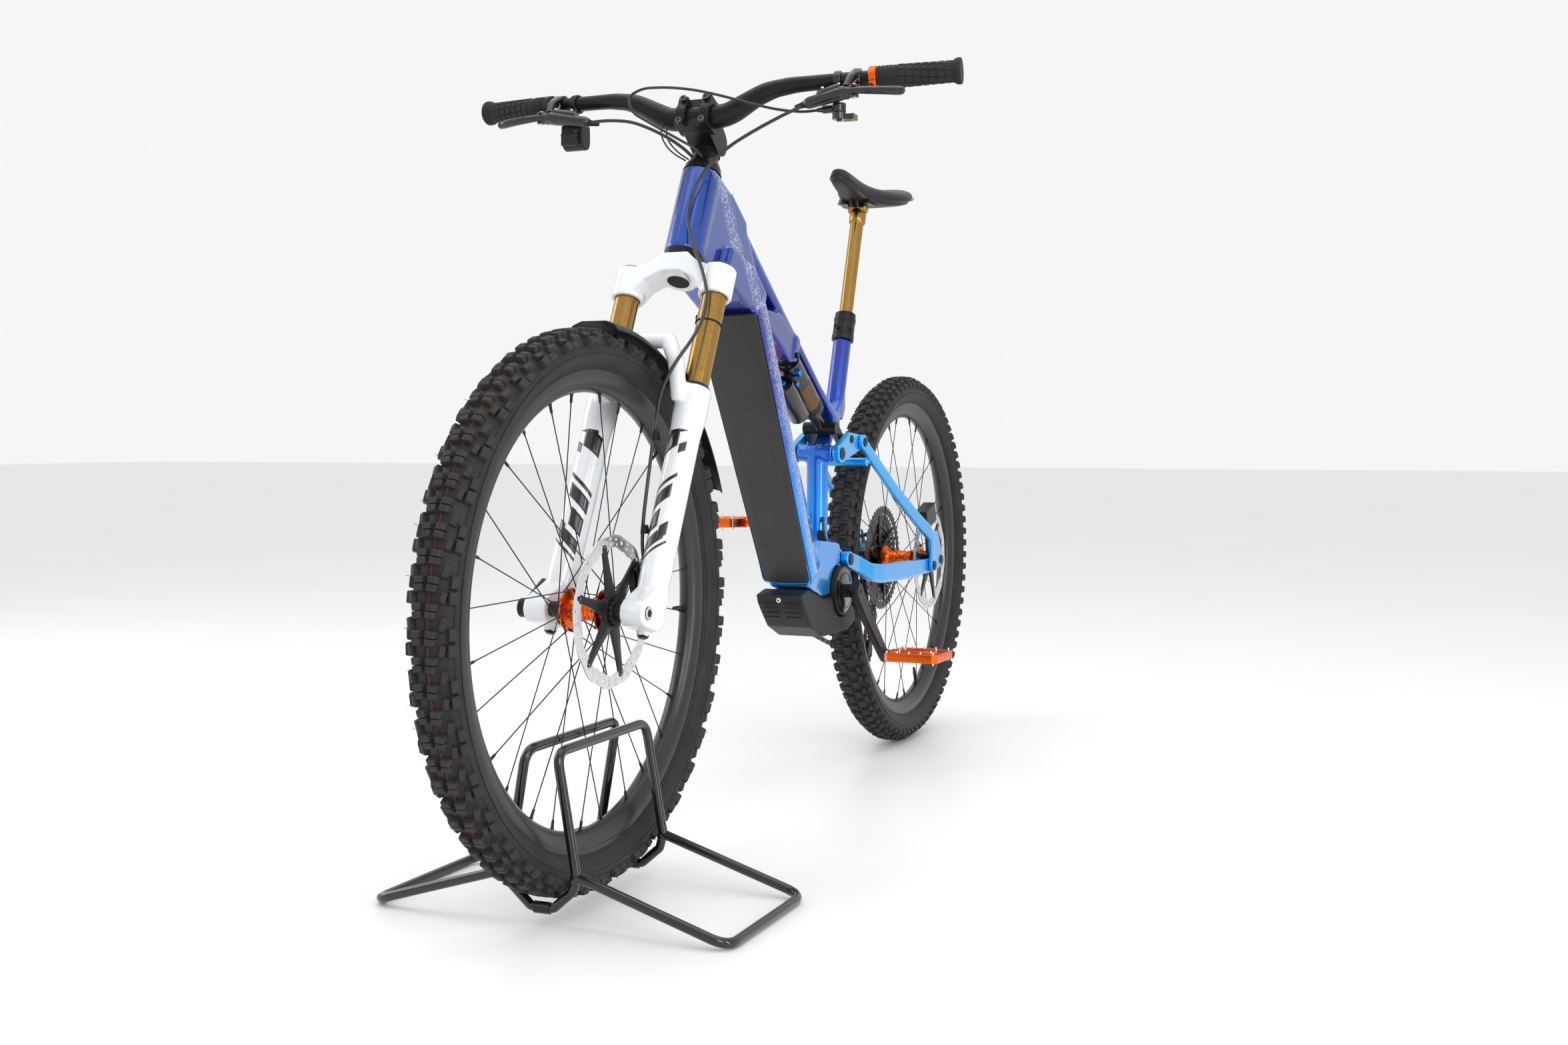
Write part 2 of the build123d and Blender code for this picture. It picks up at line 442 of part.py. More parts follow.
hs = (rod((0, 0, 560.3), (0, 0, 570), 30) - rod((0, 0, 555), (0, 0, 575), 15 + FIT), (rod((0, 0, 711), (0, 0, 723), 30, 27) + rod((0, 0, 723), (0, 0, 735), 27, 21)) - rod((0, 0, 700), (0, 0, 740), 15 + FIT))
save("headset", list(hs), BIKE * STEER)
col = rod(seat(421), seat(470), 19) - rod(seat(418), seat(475), POST_R + FIT)
save("seat_collar", col, BIKE)
piv = [ycyl(MAIN_PIVOT[0], MAIN_PIVOT[1], 7.5, -49.5, 49.5), ycyl(SHOCK_TOP[0], SHOCK_TOP[1], 5, -26.5, 26.5)]
save("frame_pivots", piv, BIKE)

# ----------------------------------------------------------------- rear end
cs_side = rect_loft([(425, 39.5, 22, 7.5, 15), (385, 42, 12, 7.3, 16), (345, 55, -6, 7.5, 17), (300, 60, -11, 7, 18), (180, 66, -12, 6, 18), (72, 70.6, -11, 5, 15)]) + link([(MAIN_PIVOT[0], MAIN_PIVOT[1], 15)], 32, 47) + link([(HORST[0], HORST[1], 14), (78, -11, 14)], 66, 75.6) + ycyl(HORST[0], HORST[1], 7, 75, 84.5)
cs_bridge = box(386, 400, -40, 40, -2, 22)
cs = cs_side + mirrored(cs_side) + cs_bridge - ycyl(MAIN_PIVOT[0], MAIN_PIVOT[1], 7.5 + FIT, -60, 60) - ycyl(MAIN_PIVOT[0], MAIN_PIVOT[1], 17, -31, 31)
save("chainstay", cs, BIKE)
ss_side = rect_loft([(383, 53.5, 233, 4, 13), (352, 55, 213, 5, 13), (240, 63, 146, 6.5, 13), (120, 72, 84, 6.5, 14), (66, 77.5, 58, 6, 15), (34, 80, 36, 4, 16)]) + link([(ROCKER_STAY[0], ROCKER_STAY[1], 14)], 49.5, 57.5) + link([(0, 0, 13), (HORST[0], HORST[1], 14), (48, 46, 12), (30, 48, 12)], 76, 84) + ycyl(0, 0, 12, 74.3, 77)
ss_bridge = ycyl(352, 197, 8, -52, 52)
ss = ss_side + mirrored(ss_side) + ss_bridge
ss = ss + link([(0, 0, 13), (20, -36, 9)], -84, -77)
ss = ss - ycyl(HORST[0], HORST[1], 7 + FIT, 60, 90) - ycyl(HORST[0], HORST[1], 7 + FIT, -90, -60)
ss = ss + ycyl(0, 0, 6, -86, 86)
save("seatstay", ss, BIKE)
rc = (Rot(0, -72, 0) * calliper(ROTOR_Y_R))
rc = rc - ss - mirrored(cs_side) - cs_side
save("rear_calliper", rc, BIKE)
arm = link([(ROCKER_PIVOT[0], ROCKER_PIVOT[1], 17), (ROCKER_STAY[0], ROCKER_STAY[1], 14), (YOKE_PIVOT[0], YOKE_PIVOT[1], 12)], 35.4, 49) + ycyl(YOKE_PIVOT[0], YOKE_PIVOT[1], 8, 31.8, 36)
rocker = arm + mirrored(arm) + ycyl(ROCKER_PIVOT[0], ROCKER_PIVOT[1], 8, -40, 40)
save("rocker", rocker, BIKE)

sx, sz = YOKE_PIVOT[0] - SHOCK_TOP[0], YOKE_PIVOT[1] - SHOCK_TOP[1]
sl = math.hypot(sx, sz)
sx, sz = sx / sl, sz / sl


def sh(s, d=0.0, y=0.0):
    """A point s down the shock's axis and d below it."""
    return (SHOCK_TOP[0] + sx * s - sz * d, y, SHOCK_TOP[1] + sz * s + sx * d)


can = rod(sh(14), sh(152), 22) + link([(SHOCK_TOP[0], SHOCK_TOP[1], 12), (sh(20)[0], sh(20)[2], 12)], -15, 15)
res = rod(sh(22, 43), sh(112, 43), 18) + rod(sh(34, 0), sh(34, 43), 9)
shock_b = can + res - ycyl(SHOCK_TOP[0], SHOCK_TOP[1], 5 + FIT, -30, 30) - rod(sh(90), sh(153), 10.5 + FIT)
save("shock_body", shock_b, BIKE)
yb = sh(209)
yoke = ycyl(yb[0], yb[2], 12, -31, 31)
yarm = link([(yb[0], yb[2], 11), (YOKE_PIVOT[0], YOKE_PIVOT[1], 10)], 21.5, 30.6)
shaft = rod(sh(146), sh(205), 10.5) + yoke + yarm + mirrored(yarm)
save("shock_shaft", shaft, BIKE)

# ----------------------------------------------------------------- drivetrain
cass_prof = [(6 + FIT, -74), (10, -74)]
teeth_r = [20.3, 24, 28, 32.5, 38, 44, 51, 59, 68, 79, 91, 104.5]
y = -72.0
for k, r in enumerate(teeth_r):
    cass_prof += [(r, y), (r, y + 1.7)]
    nxt = y + 2.55
    if k < len(teeth_r) - 1:
        cass_prof += [(max(17, r - 9), y + 1.7), (max(17, r - 9), nxt)]
    y = nxt
cass_prof += [(60, y - 0.85), (17, y + 0.3), (14, -38.4), (6 + FIT, -38.4)]
save("cassette", spin(cass_prof), BIKE)
ring_r = 68.0
cr = math.degrees(math.atan2(CRANK_DZ, CRANK_DX))
arm_l = rect_loft([(-14, 68, 0, 7, 14), (0, 68, 0, 7.5, 17), (60, 71, 0, 7, 14), (CRANK_LEN, 81, 0, 6.5, 12), (CRANK_LEN + 13, 81, 0, 6, 9)])
arm_L = Pos(BB[0], 0, BB[1]) * Rot(0, -cr, 0) * arm_l
arm_R = Pos(BB[0], 0, BB[1]) * Rot(0, -cr + 180, 0) * mirrored(arm_l)
PL = (BB[0] + CRANK_DX, BB[1] + CRANK_DZ)
PR = (BB[0] - CRANK_DX, BB[1] - CRANK_DZ)
crankset = arm_L + arm_R + ycyl(BB[0], BB[1], 12, -66, 66) + ycyl(BB[0], BB[1], 20, -58, -46) + ycyl(PL[0], PL[1], 6, 80, 170) + ycyl(PR[0], PR[1], 6, -170, -80)
save("crankset", crankset, BIKE)
ringp = spin([(20, -54), (ring_r, -54), (ring_r, -50), (20, -50)])
save("chainring", Pos(BB[0], 0, BB[1]) * ringp, BIKE)


def pedal(px, pz):
    """Platform pedal: a shallow tray round its own spindle tube, with pins."""
    b = box(px - 50, px + 50, 98, 200, pz - 8, pz + 8) - box(px - 42, px - 13, 110, 190, pz - 20, pz + 20) - box(px + 13, px + 42, 110, 190, pz - 20, pz + 20)
    b = b + ycyl(px, pz, 9.5, 98, 190)
    for dx in (-46, 46):
        for yy in (104, 128, 150, 172, 195):
            b = b + rod((px + dx, yy, pz - 11.5), (px + dx, yy, pz + 11.5), 1.6)
    b = b - ycyl(px, pz, 6 + FIT, 90, 170.5)
    return b


save("pedal_left", pedal(*PL), BIKE)
save("pedal_right", mirrored(pedal(*PR)), BIKE)

# derailleur on the right dropout, cage with two guide wheels
JU, JL = (24.0, -118.0), (58.0, -188.0)
CG = (24.0, -118.0)
der = link([(20, -36, 11), (28, -80, 14)], -76.7, -68) + link([(28, -80, 14), (CG[0] + 2, CG[1] + 6, 13)], -76.7, -66)
save("derailleur", der, BIKE)
cage = link([(JU[0], JU[1], 9), (JL[0], JL[1], 10)], -63.5, -61.5) + link([(JU[0], JU[1], 9), (JL[0], JL[1], 10)], -49.5, -47.5) + ycyl(JU[0], JU[1], 3, -65.8, -48) + ycyl(JL[0], JL[1], 3, -63, -48)
save("derailleur_cage", cage, BIKE)
jw = spin([(3 + FIT, -58.5), (22, -58.5), (24, -56.5), (24, -54.5), (22, -52.5), (3 + FIT, -52.5)])
save("jockey_upper", Pos(JU[0], 0, JU[1]) * jw, BIKE)
save("jockey_lower", Pos(JL[0], 0, JL[1]) * jw, BIKE)
COG_R = 52.0
CHY = -55.5


def band(p, q, hw=3.2, hz=3.6):
    p, q = Vector(p[0], CHY, p[1]), Vector(q[0], CHY, q[1])
    pl = Plane(origin=p, z_dir=(q - p), x_dir=(0, 1, 0))
    return pl * Box(2 * hw, 2 * hz, (q - p).length, align=MINC)


up0, up1 = (66, COG_R + 5.6), (404, ring_r - 30.5 + 5)
lo0, lo1 = (92, -199.5), (392, -121)
save("chain", [band(up0, up1), band(lo0, lo1)], BIKE)

# ------------------------------------------------------------- post and saddle
ptop = seat(654)
post = rod(seat(442), ptop, POST_R) + rod(seat(648), seat(668), 15) + link([(SEAT_TOP[0], 668, 11), (SEAT_TOP[0] - 4, 682, 8)], -18, 18)
save("dropper_post", post, BIKE)


def sad(secs):
    wires = []
    for x, hw, zt, drop_, th in secs:
        p = [(0, zt), (0.5 * hw, zt - 0.10 * drop_), (0.85 * hw, zt - 0.45 * drop_), (hw, zt - drop_), (0.93 * hw, zt - drop_ - 3), (0.45 * hw, zt - th - 0.12 * drop_), (0, zt - th)]
        pts = [Vector(x, yy, zz) for yy, zz in p] + [Vector(x, -yy, zz) for yy, zz in p[1:-1][::-1]]
        wires.append(Wire.make_polygon(pts, close=True))
    return Solid.make_loft(wires, ruled=True)


shell_s = sad([(386, 12, 727, 14, 16), (376, 18, 729, 20, 20), (330, 23, 724, 22, 20), (285, 31, 716, 22, 20), (240, 52, 714, 22, 20), (205, 69, 717, 24, 20), (160, 72, 724, 24, 20), (130, 62, 728, 20, 18), (121, 46, 727, 12, 14)])
rail = None
rp = [(345, 14, 706), (310, 21, 692), (240, 22, 688), (195, 24, 692), (150, 30, 708)]
for a, b in zip(rp, rp[1:]):
    sgm = rod(a, b, 3.5)
    rail = sgm + ball(a, 3.5) if rail is None else rail + sgm + ball(a, 3.5)
rail = rail + ball(rp[-1], 3.5)
saddle = shell_s + rail + mirrored(rail)
saddle = saddle - post
save("saddle", saddle, BIKE)

# ---------------------------------------------------------------------- stand
R = STAND_R


def stand_half():
    """Foot loop on the floor, two rising legs, and the hoop that leans in."""
    x0, x1 = STAND_XR, STAND_XF
    fy, fz = STAND_FOOT_Y, R
    jy, jz, ty, tz2 = STAND_JY, STAND_JZ, STAND_TY, STAND_TZ
    parts = []
    parts.append(rod((x0, fy, fz), (x1, fy, fz), R))
    for x in (x0, x1):
        parts += [ball((x, fy, fz), R), rod((x, fy, fz), (x, jy, jz), R), ball((x, jy, jz), R)]
        xe = x + (16 if x == x0 else -16)
        parts += [rod((x, jy, jz), (x, ty + 3.2, tz2 - 17), R), ball((x, ty + 3.2, tz2 - 17), R), rod((x, ty + 3.2, tz2 - 17), (xe, ty, tz2), R), ball((xe, ty, tz2), R)]
        parts += [rod((x, jy, jz), (x, 44, 50), R), ball((x, 44, 50), R), rod((x, 44, 50), (x, 16.5, STAND_VZ), R), ball((x, 16.5, STAND_VZ), R)]
    parts.append(rod((x0 + 16, ty, tz2), (x1 - 16, ty, tz2), R))
    return fuse(*parts)


sh_l = stand_half()
save("stand_left", sh_l, FLOOR)
save("stand_right", mirrored(sh_l), FLOOR)
coils = [rod((x, -7.6, STAND_VZ), (x, 7.6, STAND_VZ), 7.8) for x in (STAND_XR, STAND_XF)]
save("stand_springs", coils, FLOOR)
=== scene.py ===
import bpy
import bmesh
import json
import math
import random
import numpy as np
from mathutils import Vector, Matrix

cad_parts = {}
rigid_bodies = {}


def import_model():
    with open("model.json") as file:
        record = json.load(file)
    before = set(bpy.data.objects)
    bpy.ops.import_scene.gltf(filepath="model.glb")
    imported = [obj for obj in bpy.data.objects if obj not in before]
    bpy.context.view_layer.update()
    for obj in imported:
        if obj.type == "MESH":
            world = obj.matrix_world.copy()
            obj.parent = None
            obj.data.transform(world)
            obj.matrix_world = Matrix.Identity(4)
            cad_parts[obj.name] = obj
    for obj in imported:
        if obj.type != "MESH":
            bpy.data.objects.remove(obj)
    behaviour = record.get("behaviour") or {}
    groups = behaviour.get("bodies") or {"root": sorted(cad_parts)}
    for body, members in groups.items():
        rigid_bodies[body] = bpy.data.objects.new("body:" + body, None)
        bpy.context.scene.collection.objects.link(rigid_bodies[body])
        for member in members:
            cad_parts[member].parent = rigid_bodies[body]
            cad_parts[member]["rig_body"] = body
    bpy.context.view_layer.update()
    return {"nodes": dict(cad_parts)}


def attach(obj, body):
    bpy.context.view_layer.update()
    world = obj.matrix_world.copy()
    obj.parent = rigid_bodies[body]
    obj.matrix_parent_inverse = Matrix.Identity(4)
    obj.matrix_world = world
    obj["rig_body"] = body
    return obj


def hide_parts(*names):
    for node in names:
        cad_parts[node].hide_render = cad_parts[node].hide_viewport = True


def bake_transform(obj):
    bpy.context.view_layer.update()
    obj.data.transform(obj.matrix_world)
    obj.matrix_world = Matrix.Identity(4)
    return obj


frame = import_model()
CAD = frame["nodes"]
rnd = random.Random(7)

# ------------------------------------------------------------- coordinates
XC, RT, WB, LIFT = 644.93, 372.0, 1290.0, 18.7
PIT = math.asin(LIFT / WB)
HA, RAKE = math.radians(65), 44.0
UX, UZ = -math.cos(HA), math.sin(HA)
OX, OZ = math.sin(HA), math.cos(HA)
FX, FZ = WB - RAKE * OX, -RAKE * OZ


def P(x, y, z):
    """Level bicycle frame in mm to the row frame in m."""
    return Vector(((x * math.cos(PIT) - z * math.sin(PIT) - XC) / 1000, y / 1000, (RT + x * math.sin(PIT) + z * math.cos(PIT)) / 1000))


def S(o, y, a):
    """Steering frame (ahead, left, up the axis) in mm to the row frame in m."""
    return P(FX + a * UX + o * OX, y, FZ + a * UZ + o * OZ)


def F(x, y, z):
    return Vector(((x - XC) / 1000, y / 1000, z / 1000))


def basis(fn, *at):
    """4x4 matrix of a local mm frame at a point of P, S or F."""
    o = fn(*at)
    m = Matrix.Identity(4)
    for k in range(3):
        q = list(at)
        q[k] += 1.0
        c = (fn(*q) - o)
        for r in range(3):
            m[r][k] = c[r]
    for r in range(3):
        m[r][3] = o[r]
    return m


# ----------------------------------------------------------------- materials
def nodes_of(name):
    m = bpy.data.materials.new(name)
    m.use_nodes = True
    nt = m.node_tree
    return m, nt, nt.nodes["Principled BSDF"]


def node(nt, kind, **kw):
    n = nt.nodes.new(kind)
    for k, v in kw.items():
        if k.startswith("i_"):
            n.inputs[int(k[2:])].default_value = v
        else:
            setattr(n, k, v)
    return n


def noise_of(nt, scale, detail=3.0, rough=0.5, vec=None):
    n = node(nt, "ShaderNodeTexNoise")
    n.inputs["Scale"].default_value = scale
    n.inputs["Detail"].default_value = detail
    n.inputs["Roughness"].default_value = rough
    if vec is None:
        tc = node(nt, "ShaderNodeTexCoord")
        vec = tc.outputs["Object"]
    nt.links.new(vec, n.inputs["Vector"])
    return n


def ramp(nt, src, stops):
    r = node(nt, "ShaderNodeValToRGB")
    e = r.color_ramp.elements
    while len(e) < len(stops):
        e.new(0.5)
    for k, (p, c) in enumerate(stops):
        e[k].position = p
        e[k].color = tuple(c) + (1,) if len(c) == 3 else c
    nt.links.new(src, r.inputs["Fac"])
    return r


def math_n(nt, op, a, b=None, clamp=False):
    m = node(nt, "ShaderNodeMath", operation=op, use_clamp=clamp)
    for k, v in enumerate((a, b)):
        if v is None:
            continue
        if isinstance(v, (int, float)):
            m.inputs[k].default_value = v
        else:
            nt.links.new(v, m.inputs[k])
    return m.outputs[0]


def finish_of(name, col, rough, metal=0.0, coat=0.0, bump=0.02, scale=900, var=0.12, rvar=0.08, big=14, sheen=0.0, wear=0.0, wearcol=(0.3, 0.3, 0.3), dist=0.0006, spec=0.5):
    """One material: base colour that drifts a little, roughness that varies, fine bump and edge wear."""
    m, nt, b = nodes_of(name)
    tc = node(nt, "ShaderNodeTexCoord")
    n1 = noise_of(nt, big, 4, 0.6, tc.outputs["Object"])
    lo = tuple(max(0, c * (1 - var)) for c in col)
    hi = tuple(min(1, c * (1 + var)) for c in col)
    r1 = ramp(nt, n1.outputs["Fac"], [(0.3, lo), (0.7, hi)])
    colour = r1.outputs["Color"]
    if wear > 0:
        g = node(nt, "ShaderNodeNewGeometry")
        n3 = noise_of(nt, 60, 5, 0.7, tc.outputs["Object"])
        e = math_n(nt, "MULTIPLY", math_n(nt, "SUBTRACT", g.outputs["Pointiness"], 0.53), 9.0, clamp=True)
        w = math_n(nt, "MULTIPLY", e, math_n(nt, "MULTIPLY", n3.outputs["Fac"], wear * 2), clamp=True)
        mx = node(nt, "ShaderNodeMix", data_type="RGBA")
        nt.links.new(w, mx.inputs[0])
        nt.links.new(colour, mx.inputs[6])
        mx.inputs[7].default_value = tuple(wearcol) + (1,)
        colour = mx.outputs[2]
    nt.links.new(colour, b.inputs["Base Color"])
    n2 = noise_of(nt, scale, 3, 0.6, tc.outputs["Object"])
    mr = node(nt, "ShaderNodeMapRange")
    mr.inputs["To Min"].default_value = max(0.02, rough - rvar)
    mr.inputs["To Max"].default_value = min(1.0, rough + rvar)
    n4 = noise_of(nt, big * 4, 4, 0.6, tc.outputs["Object"])
    nt.links.new(n4.outputs["Fac"], mr.inputs["Value"])
    nt.links.new(mr.outputs[0], b.inputs["Roughness"])
    b.inputs["Metallic"].default_value = metal
    b.inputs["Specular IOR Level"].default_value = spec
    b.inputs["Coat Weight"].default_value = coat
    b.inputs["Coat Roughness"].default_value = 0.06
    b.inputs["Sheen Weight"].default_value = sheen
    if bump > 0:
        bp = node(nt, "ShaderNodeBump")
        bp.inputs["Strength"].default_value = bump
        bp.inputs["Distance"].default_value = dist
        nt.links.new(n2.outputs["Fac"], bp.inputs["Height"])
        nt.links.new(bp.outputs["Normal"], b.inputs["Normal"])
    return m


def brushed(name, col, rough, along=(1, 1, 1), metal=1.0, var=0.15):
    m, nt, b = nodes_of(name)
    tc = node(nt, "ShaderNodeTexCoord")
    mp = node(nt, "ShaderNodeMapping")
    mp.inputs["Scale"].default_value = along
    nt.links.new(tc.outputs["Object"], mp.inputs["Vector"])
    n = noise_of(nt, 400, 5, 0.7, mp.outputs["Vector"])
    r = ramp(nt, n.outputs["Fac"], [(0.3, tuple(c * (1 - var) for c in col)), (0.7, tuple(min(1, c * (1 + var)) for c in col))])
    nt.links.new(r.outputs["Color"], b.inputs["Base Color"])
    mr = node(nt, "ShaderNodeMapRange")
    mr.inputs["To Min"].default_value = rough * 0.7
    mr.inputs["To Max"].default_value = rough * 1.35
    nt.links.new(n.outputs["Fac"], mr.inputs["Value"])
    nt.links.new(mr.outputs[0], b.inputs["Roughness"])
    b.inputs["Metallic"].default_value = metal
    bp = node(nt, "ShaderNodeBump")
    bp.inputs["Strength"].default_value = 0.05
    bp.inputs["Distance"].default_value = 0.0003
    nt.links.new(n.outputs["Fac"], bp.inputs["Height"])
    nt.links.new(bp.outputs["Normal"], b.inputs["Normal"])
    return m


def paint(name, stops, flakes=None):
    """Clear-coated metallic paint whose colour runs with height, with a band of coarse silver flakes."""
    m, nt, b = nodes_of(name)
    tc = node(nt, "ShaderNodeTexCoord")
    sx = node(nt, "ShaderNodeSeparateXYZ")
    nt.links.new(tc.outputs["Object"], sx.inputs[0])
    z0, z1 = stops[0][0], stops[-1][0]
    mr = node(nt, "ShaderNodeMapRange")
    mr.inputs["From Min"].default_value = z0
    mr.inputs["From Max"].default_value = z1
    nt.links.new(sx.outputs["Z"], mr.inputs["Value"])
    base = ramp(nt, mr.outputs[0], [((z - z0) / (z1 - z0), c) for z, c in stops])
    fl = noise_of(nt, 5200, 1, 0.5, tc.outputs["Object"])
    fr = ramp(nt, fl.outputs["Fac"], [(0.42, (0.72, 0.72, 0.74)), (0.62, (1.45, 1.45, 1.5))])
    mul = node(nt, "ShaderNodeMix", data_type="RGBA", blend_type="MULTIPLY")
    mul.inputs[0].default_value = 1.0
    nt.links.new(base.outputs["Color"], mul.inputs[6])
    nt.links.new(fr.outputs["Color"], mul.inputs[7])
    colour = mul.outputs[2]
    if flakes:
        (ax, az), (bx, bz), half, ymin = flakes
        dx, dz = bx - ax, bz - az
        n = math.hypot(dx, dz)
        nx, nz = -dz / n, dx / n
        wob = noise_of(nt, 14, 3, 0.6, tc.outputs["Object"])
        dd = math_n(nt, "ADD", math_n(nt, "MULTIPLY", sx.outputs["X"], nx), math_n(nt, "MULTIPLY", sx.outputs["Z"], nz))
        dd = math_n(nt, "SUBTRACT", dd, nx * ax + nz * az)
        dd = math_n(nt, "ADD", dd, math_n(nt, "MULTIPLY", math_n(nt, "SUBTRACT", wob.outputs["Fac"], 0.5), half * 1.2))
        band = math_n(nt, "SUBTRACT", 1.0, math_n(nt, "DIVIDE", math_n(nt, "ABSOLUTE", dd), half), clamp=True)
        big = noise_of(nt, 330, 4, 0.8, tc.outputs["Object"])
        hi = ramp(nt, big.outputs["Fac"], [(0.50, (0, 0, 0)), (0.57, (1, 1, 1))])
        side = math_n(nt, "GREATER_THAN", math_n(nt, "ABSOLUTE", sx.outputs["Y"]), ymin)
        msk = math_n(nt, "MULTIPLY", math_n(nt, "MULTIPLY", math_n(nt, "POWER", band, 0.5), side), hi.outputs["Color"], clamp=True)
        mx = node(nt, "ShaderNodeMix", data_type="RGBA")
        nt.links.new(msk, mx.inputs[0])
        nt.links.new(colour, mx.inputs[6])
        mx.inputs[7].default_value = (0.62, 0.66, 0.85, 1)
        colour = mx.outputs[2]
    nt.links.new(colour, b.inputs["Base Color"])
    b.inputs["Metallic"].default_value = 0.72
    rr = node(nt, "ShaderNodeMapRange")
    rr.inputs["To Min"].default_value = 0.22
    rr.inputs["To Max"].default_value = 0.38
    nt.links.new(fl.outputs["Fac"], rr.inputs["Value"])
    nt.links.new(rr.outputs[0], b.inputs["Roughness"])
    b.inputs["Coat Weight"].default_value = 1.0
    b.inputs["Coat Roughness"].default_value = 0.03
    bp = node(nt, "ShaderNodeBump")
    bp.inputs["Strength"].default_value = 0.03
    bp.inputs["Distance"].default_value = 0.0002
    nt.links.new(fl.outputs["Fac"], bp.inputs["Height"])
    nt.links.new(bp.outputs["Normal"], b.inputs["Normal"])
    return m


PA = P(975, 0, 655)
PB = P(640, 0, 70)
M = {
    "frame": paint("frame_paint", [(0.33, (0.006, 0.30, 0.80)), (0.50, (0.006, 0.26, 0.80)), (0.60, (0.006, 0.12, 0.52)), (0.70, (0.009, 0.048, 0.34)), (0.80, (0.012, 0.028, 0.26)), (0.90, (0.006, 0.050, 0.31)), (1.00, (0.004, 0.050, 0.27)), (1.08, (0.003, 0.036, 0.20))],
                   flakes=((P(955, 0, 640).x, P(955, 0, 640).z), (P(690, 0, 190).x, P(690, 0, 190).z), 0.020, 0.018)),
    "rear": paint("rear_paint", [(0.30, (0.005, 0.34, 0.85)), (0.55, (0.006, 0.38, 0.86)), (0.70, (0.008, 0.40, 0.88))]),
    "white": finish_of("fork_white", (0.74, 0.76, 0.78), 0.22, 0, 0.9, 0.015, 1500, 0.03, 0.05, 8),
    "gold": brushed("gold_coat", (0.38, 0.225, 0.062), 0.20, (1, 1, 0.12)),
    "orange": brushed("orange_anodised", (0.83, 0.13, 0.015), 0.26, (1, 0.15, 1), var=0.10),
    "steel": brushed("steel", (0.72, 0.72, 0.73), 0.24, (1, 0.3, 1), var=0.08),
    "dsteel": brushed("dark_steel", (0.09, 0.09, 0.095), 0.34, (1, 0.3, 1), var=0.2),
    "black": finish_of("black_metal", (0.010, 0.010, 0.011), 0.34, 0.4, 0.06, 0.03, 1200, 0.2, 0.08, 20, wear=0.5, wearcol=(0.05, 0.05, 0.05), spec=0.3),
    "gloss": finish_of("black_gloss", (0.006, 0.006, 0.0066), 0.16, 0.1, 0.45, 0.01, 700, 0.2, 0.05, 12),
    "tyre": finish_of("tyre_rubber", (0.0125, 0.0120, 0.0118), 0.60, 0, 0, 0.16, 1900, 0.25, 0.12, 25, wear=0.8, wearcol=(0.040, 0.036, 0.033), spec=0.26),
    "casing": finish_of("tyre_casing", (0.017, 0.017, 0.0175), 0.52, 0, 0, 0.12, 1500, 0.3, 0.10, 30, spec=0.26),
    "rubber": finish_of("grip_rubber", (0.012, 0.012, 0.0125), 0.66, 0, 0, 0.12, 1600, 0.2, 0.08, 30, wear=0.4, wearcol=(0.035, 0.035, 0.035), spec=0.3),
    "cover": finish_of("battery_cover", (0.036, 0.036, 0.0375), 0.48, 0, 0, 0.10, 2600, 0.08, 0.05, 9, spec=0.3),
    "plastic": finish_of("black_plastic", (0.012, 0.012, 0.0126), 0.44, 0, 0, 0.08, 2100, 0.15, 0.07, 16, wear=0.3, wearcol=(0.04, 0.04, 0.04), spec=0.3),
    "carbon": finish_of("rim_carbon", (0.014, 0.014, 0.015), 0.34, 0.1, 0.12, 0.02, 500, 0.18, 0.06, 18),
    "saddle": finish_of("saddle_cover", (0.013, 0.013, 0.014), 0.46, 0, 0, 0.14, 1300, 0.12, 0.07, 18, sheen=0.08, spec=0.3),
    "hose": finish_of("hose", (0.012, 0.012, 0.012), 0.36, 0, 0.1, 0.03, 1500, 0.15, 0.06, 30),
    "bronze": brushed("bronze_coat", (0.16, 0.095, 0.055), 0.24, (1, 1, 1)),
    "blue": brushed("blue_anodised", (0.01, 0.22, 0.72), 0.26, (1, 1, 1)),
    "decal": finish_of("black_print", (0.010, 0.010, 0.011), 0.30, 0, 0.5, 0.01, 800, 0.15, 0.05, 12),
    "silver": finish_of("pale_print", (0.55, 0.58, 0.62), 0.35, 0, 0.4, 0.01, 800, 0.05, 0.05, 12),
    # near-black fill: painted shade inside holes, sockets, vents and grooves, and the dark colour of joints
    "dark": finish_of("hole_shade_and_joint_dark", (0.004, 0.004, 0.004), 0.8, 0, 0, 0.02, 600, 0.1, 0.05, 12),
}


# ------------------------------------------------------------------ geometry
def new_piece(name, verts, faces, mat, body, angle=35, smooth=True, bevel=0.0, subsurf=0, mats=None, fmat=None, slot=None):
    me = bpy.data.meshes.new(name)
    me.from_pydata([tuple(v) for v in verts], [], [tuple(f) for f in faces])
    me.validate()
    o = bpy.data.objects.new(name, me)
    bpy.context.scene.collection.objects.link(o)
    for mm in (mats or [mat]):
        me.materials.append(M[mm] if isinstance(mm, str) else mm)
    if fmat is not None:
        me.polygons.foreach_set("material_index", fmat)
    shade(me, angle, smooth)
    if bevel > 0:
        b = o.modifiers.new("bevel", "BEVEL")
        b.width = bevel
        b.segments = 2
        b.limit_method = "ANGLE"
        b.angle_limit = math.radians(38)
        b.harden_normals = True
    if subsurf:
        s = o.modifiers.new("sub", "SUBSURF")
        s.levels = s.render_levels = subsurf
    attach(o, body)
    return o


def shade(me, angle, smooth=True):
    bm = bmesh.new()
    bm.from_mesh(me)
    bmesh.ops.recalc_face_normals(bm, faces=bm.faces)
    for f in bm.faces:
        f.smooth = smooth
    lim = math.radians(angle)
    for e in bm.edges:
        if len(e.link_faces) == 2:
            e.smooth = e.calc_face_angle(0.0) < lim
    bm.to_mesh(me)
    bm.free()


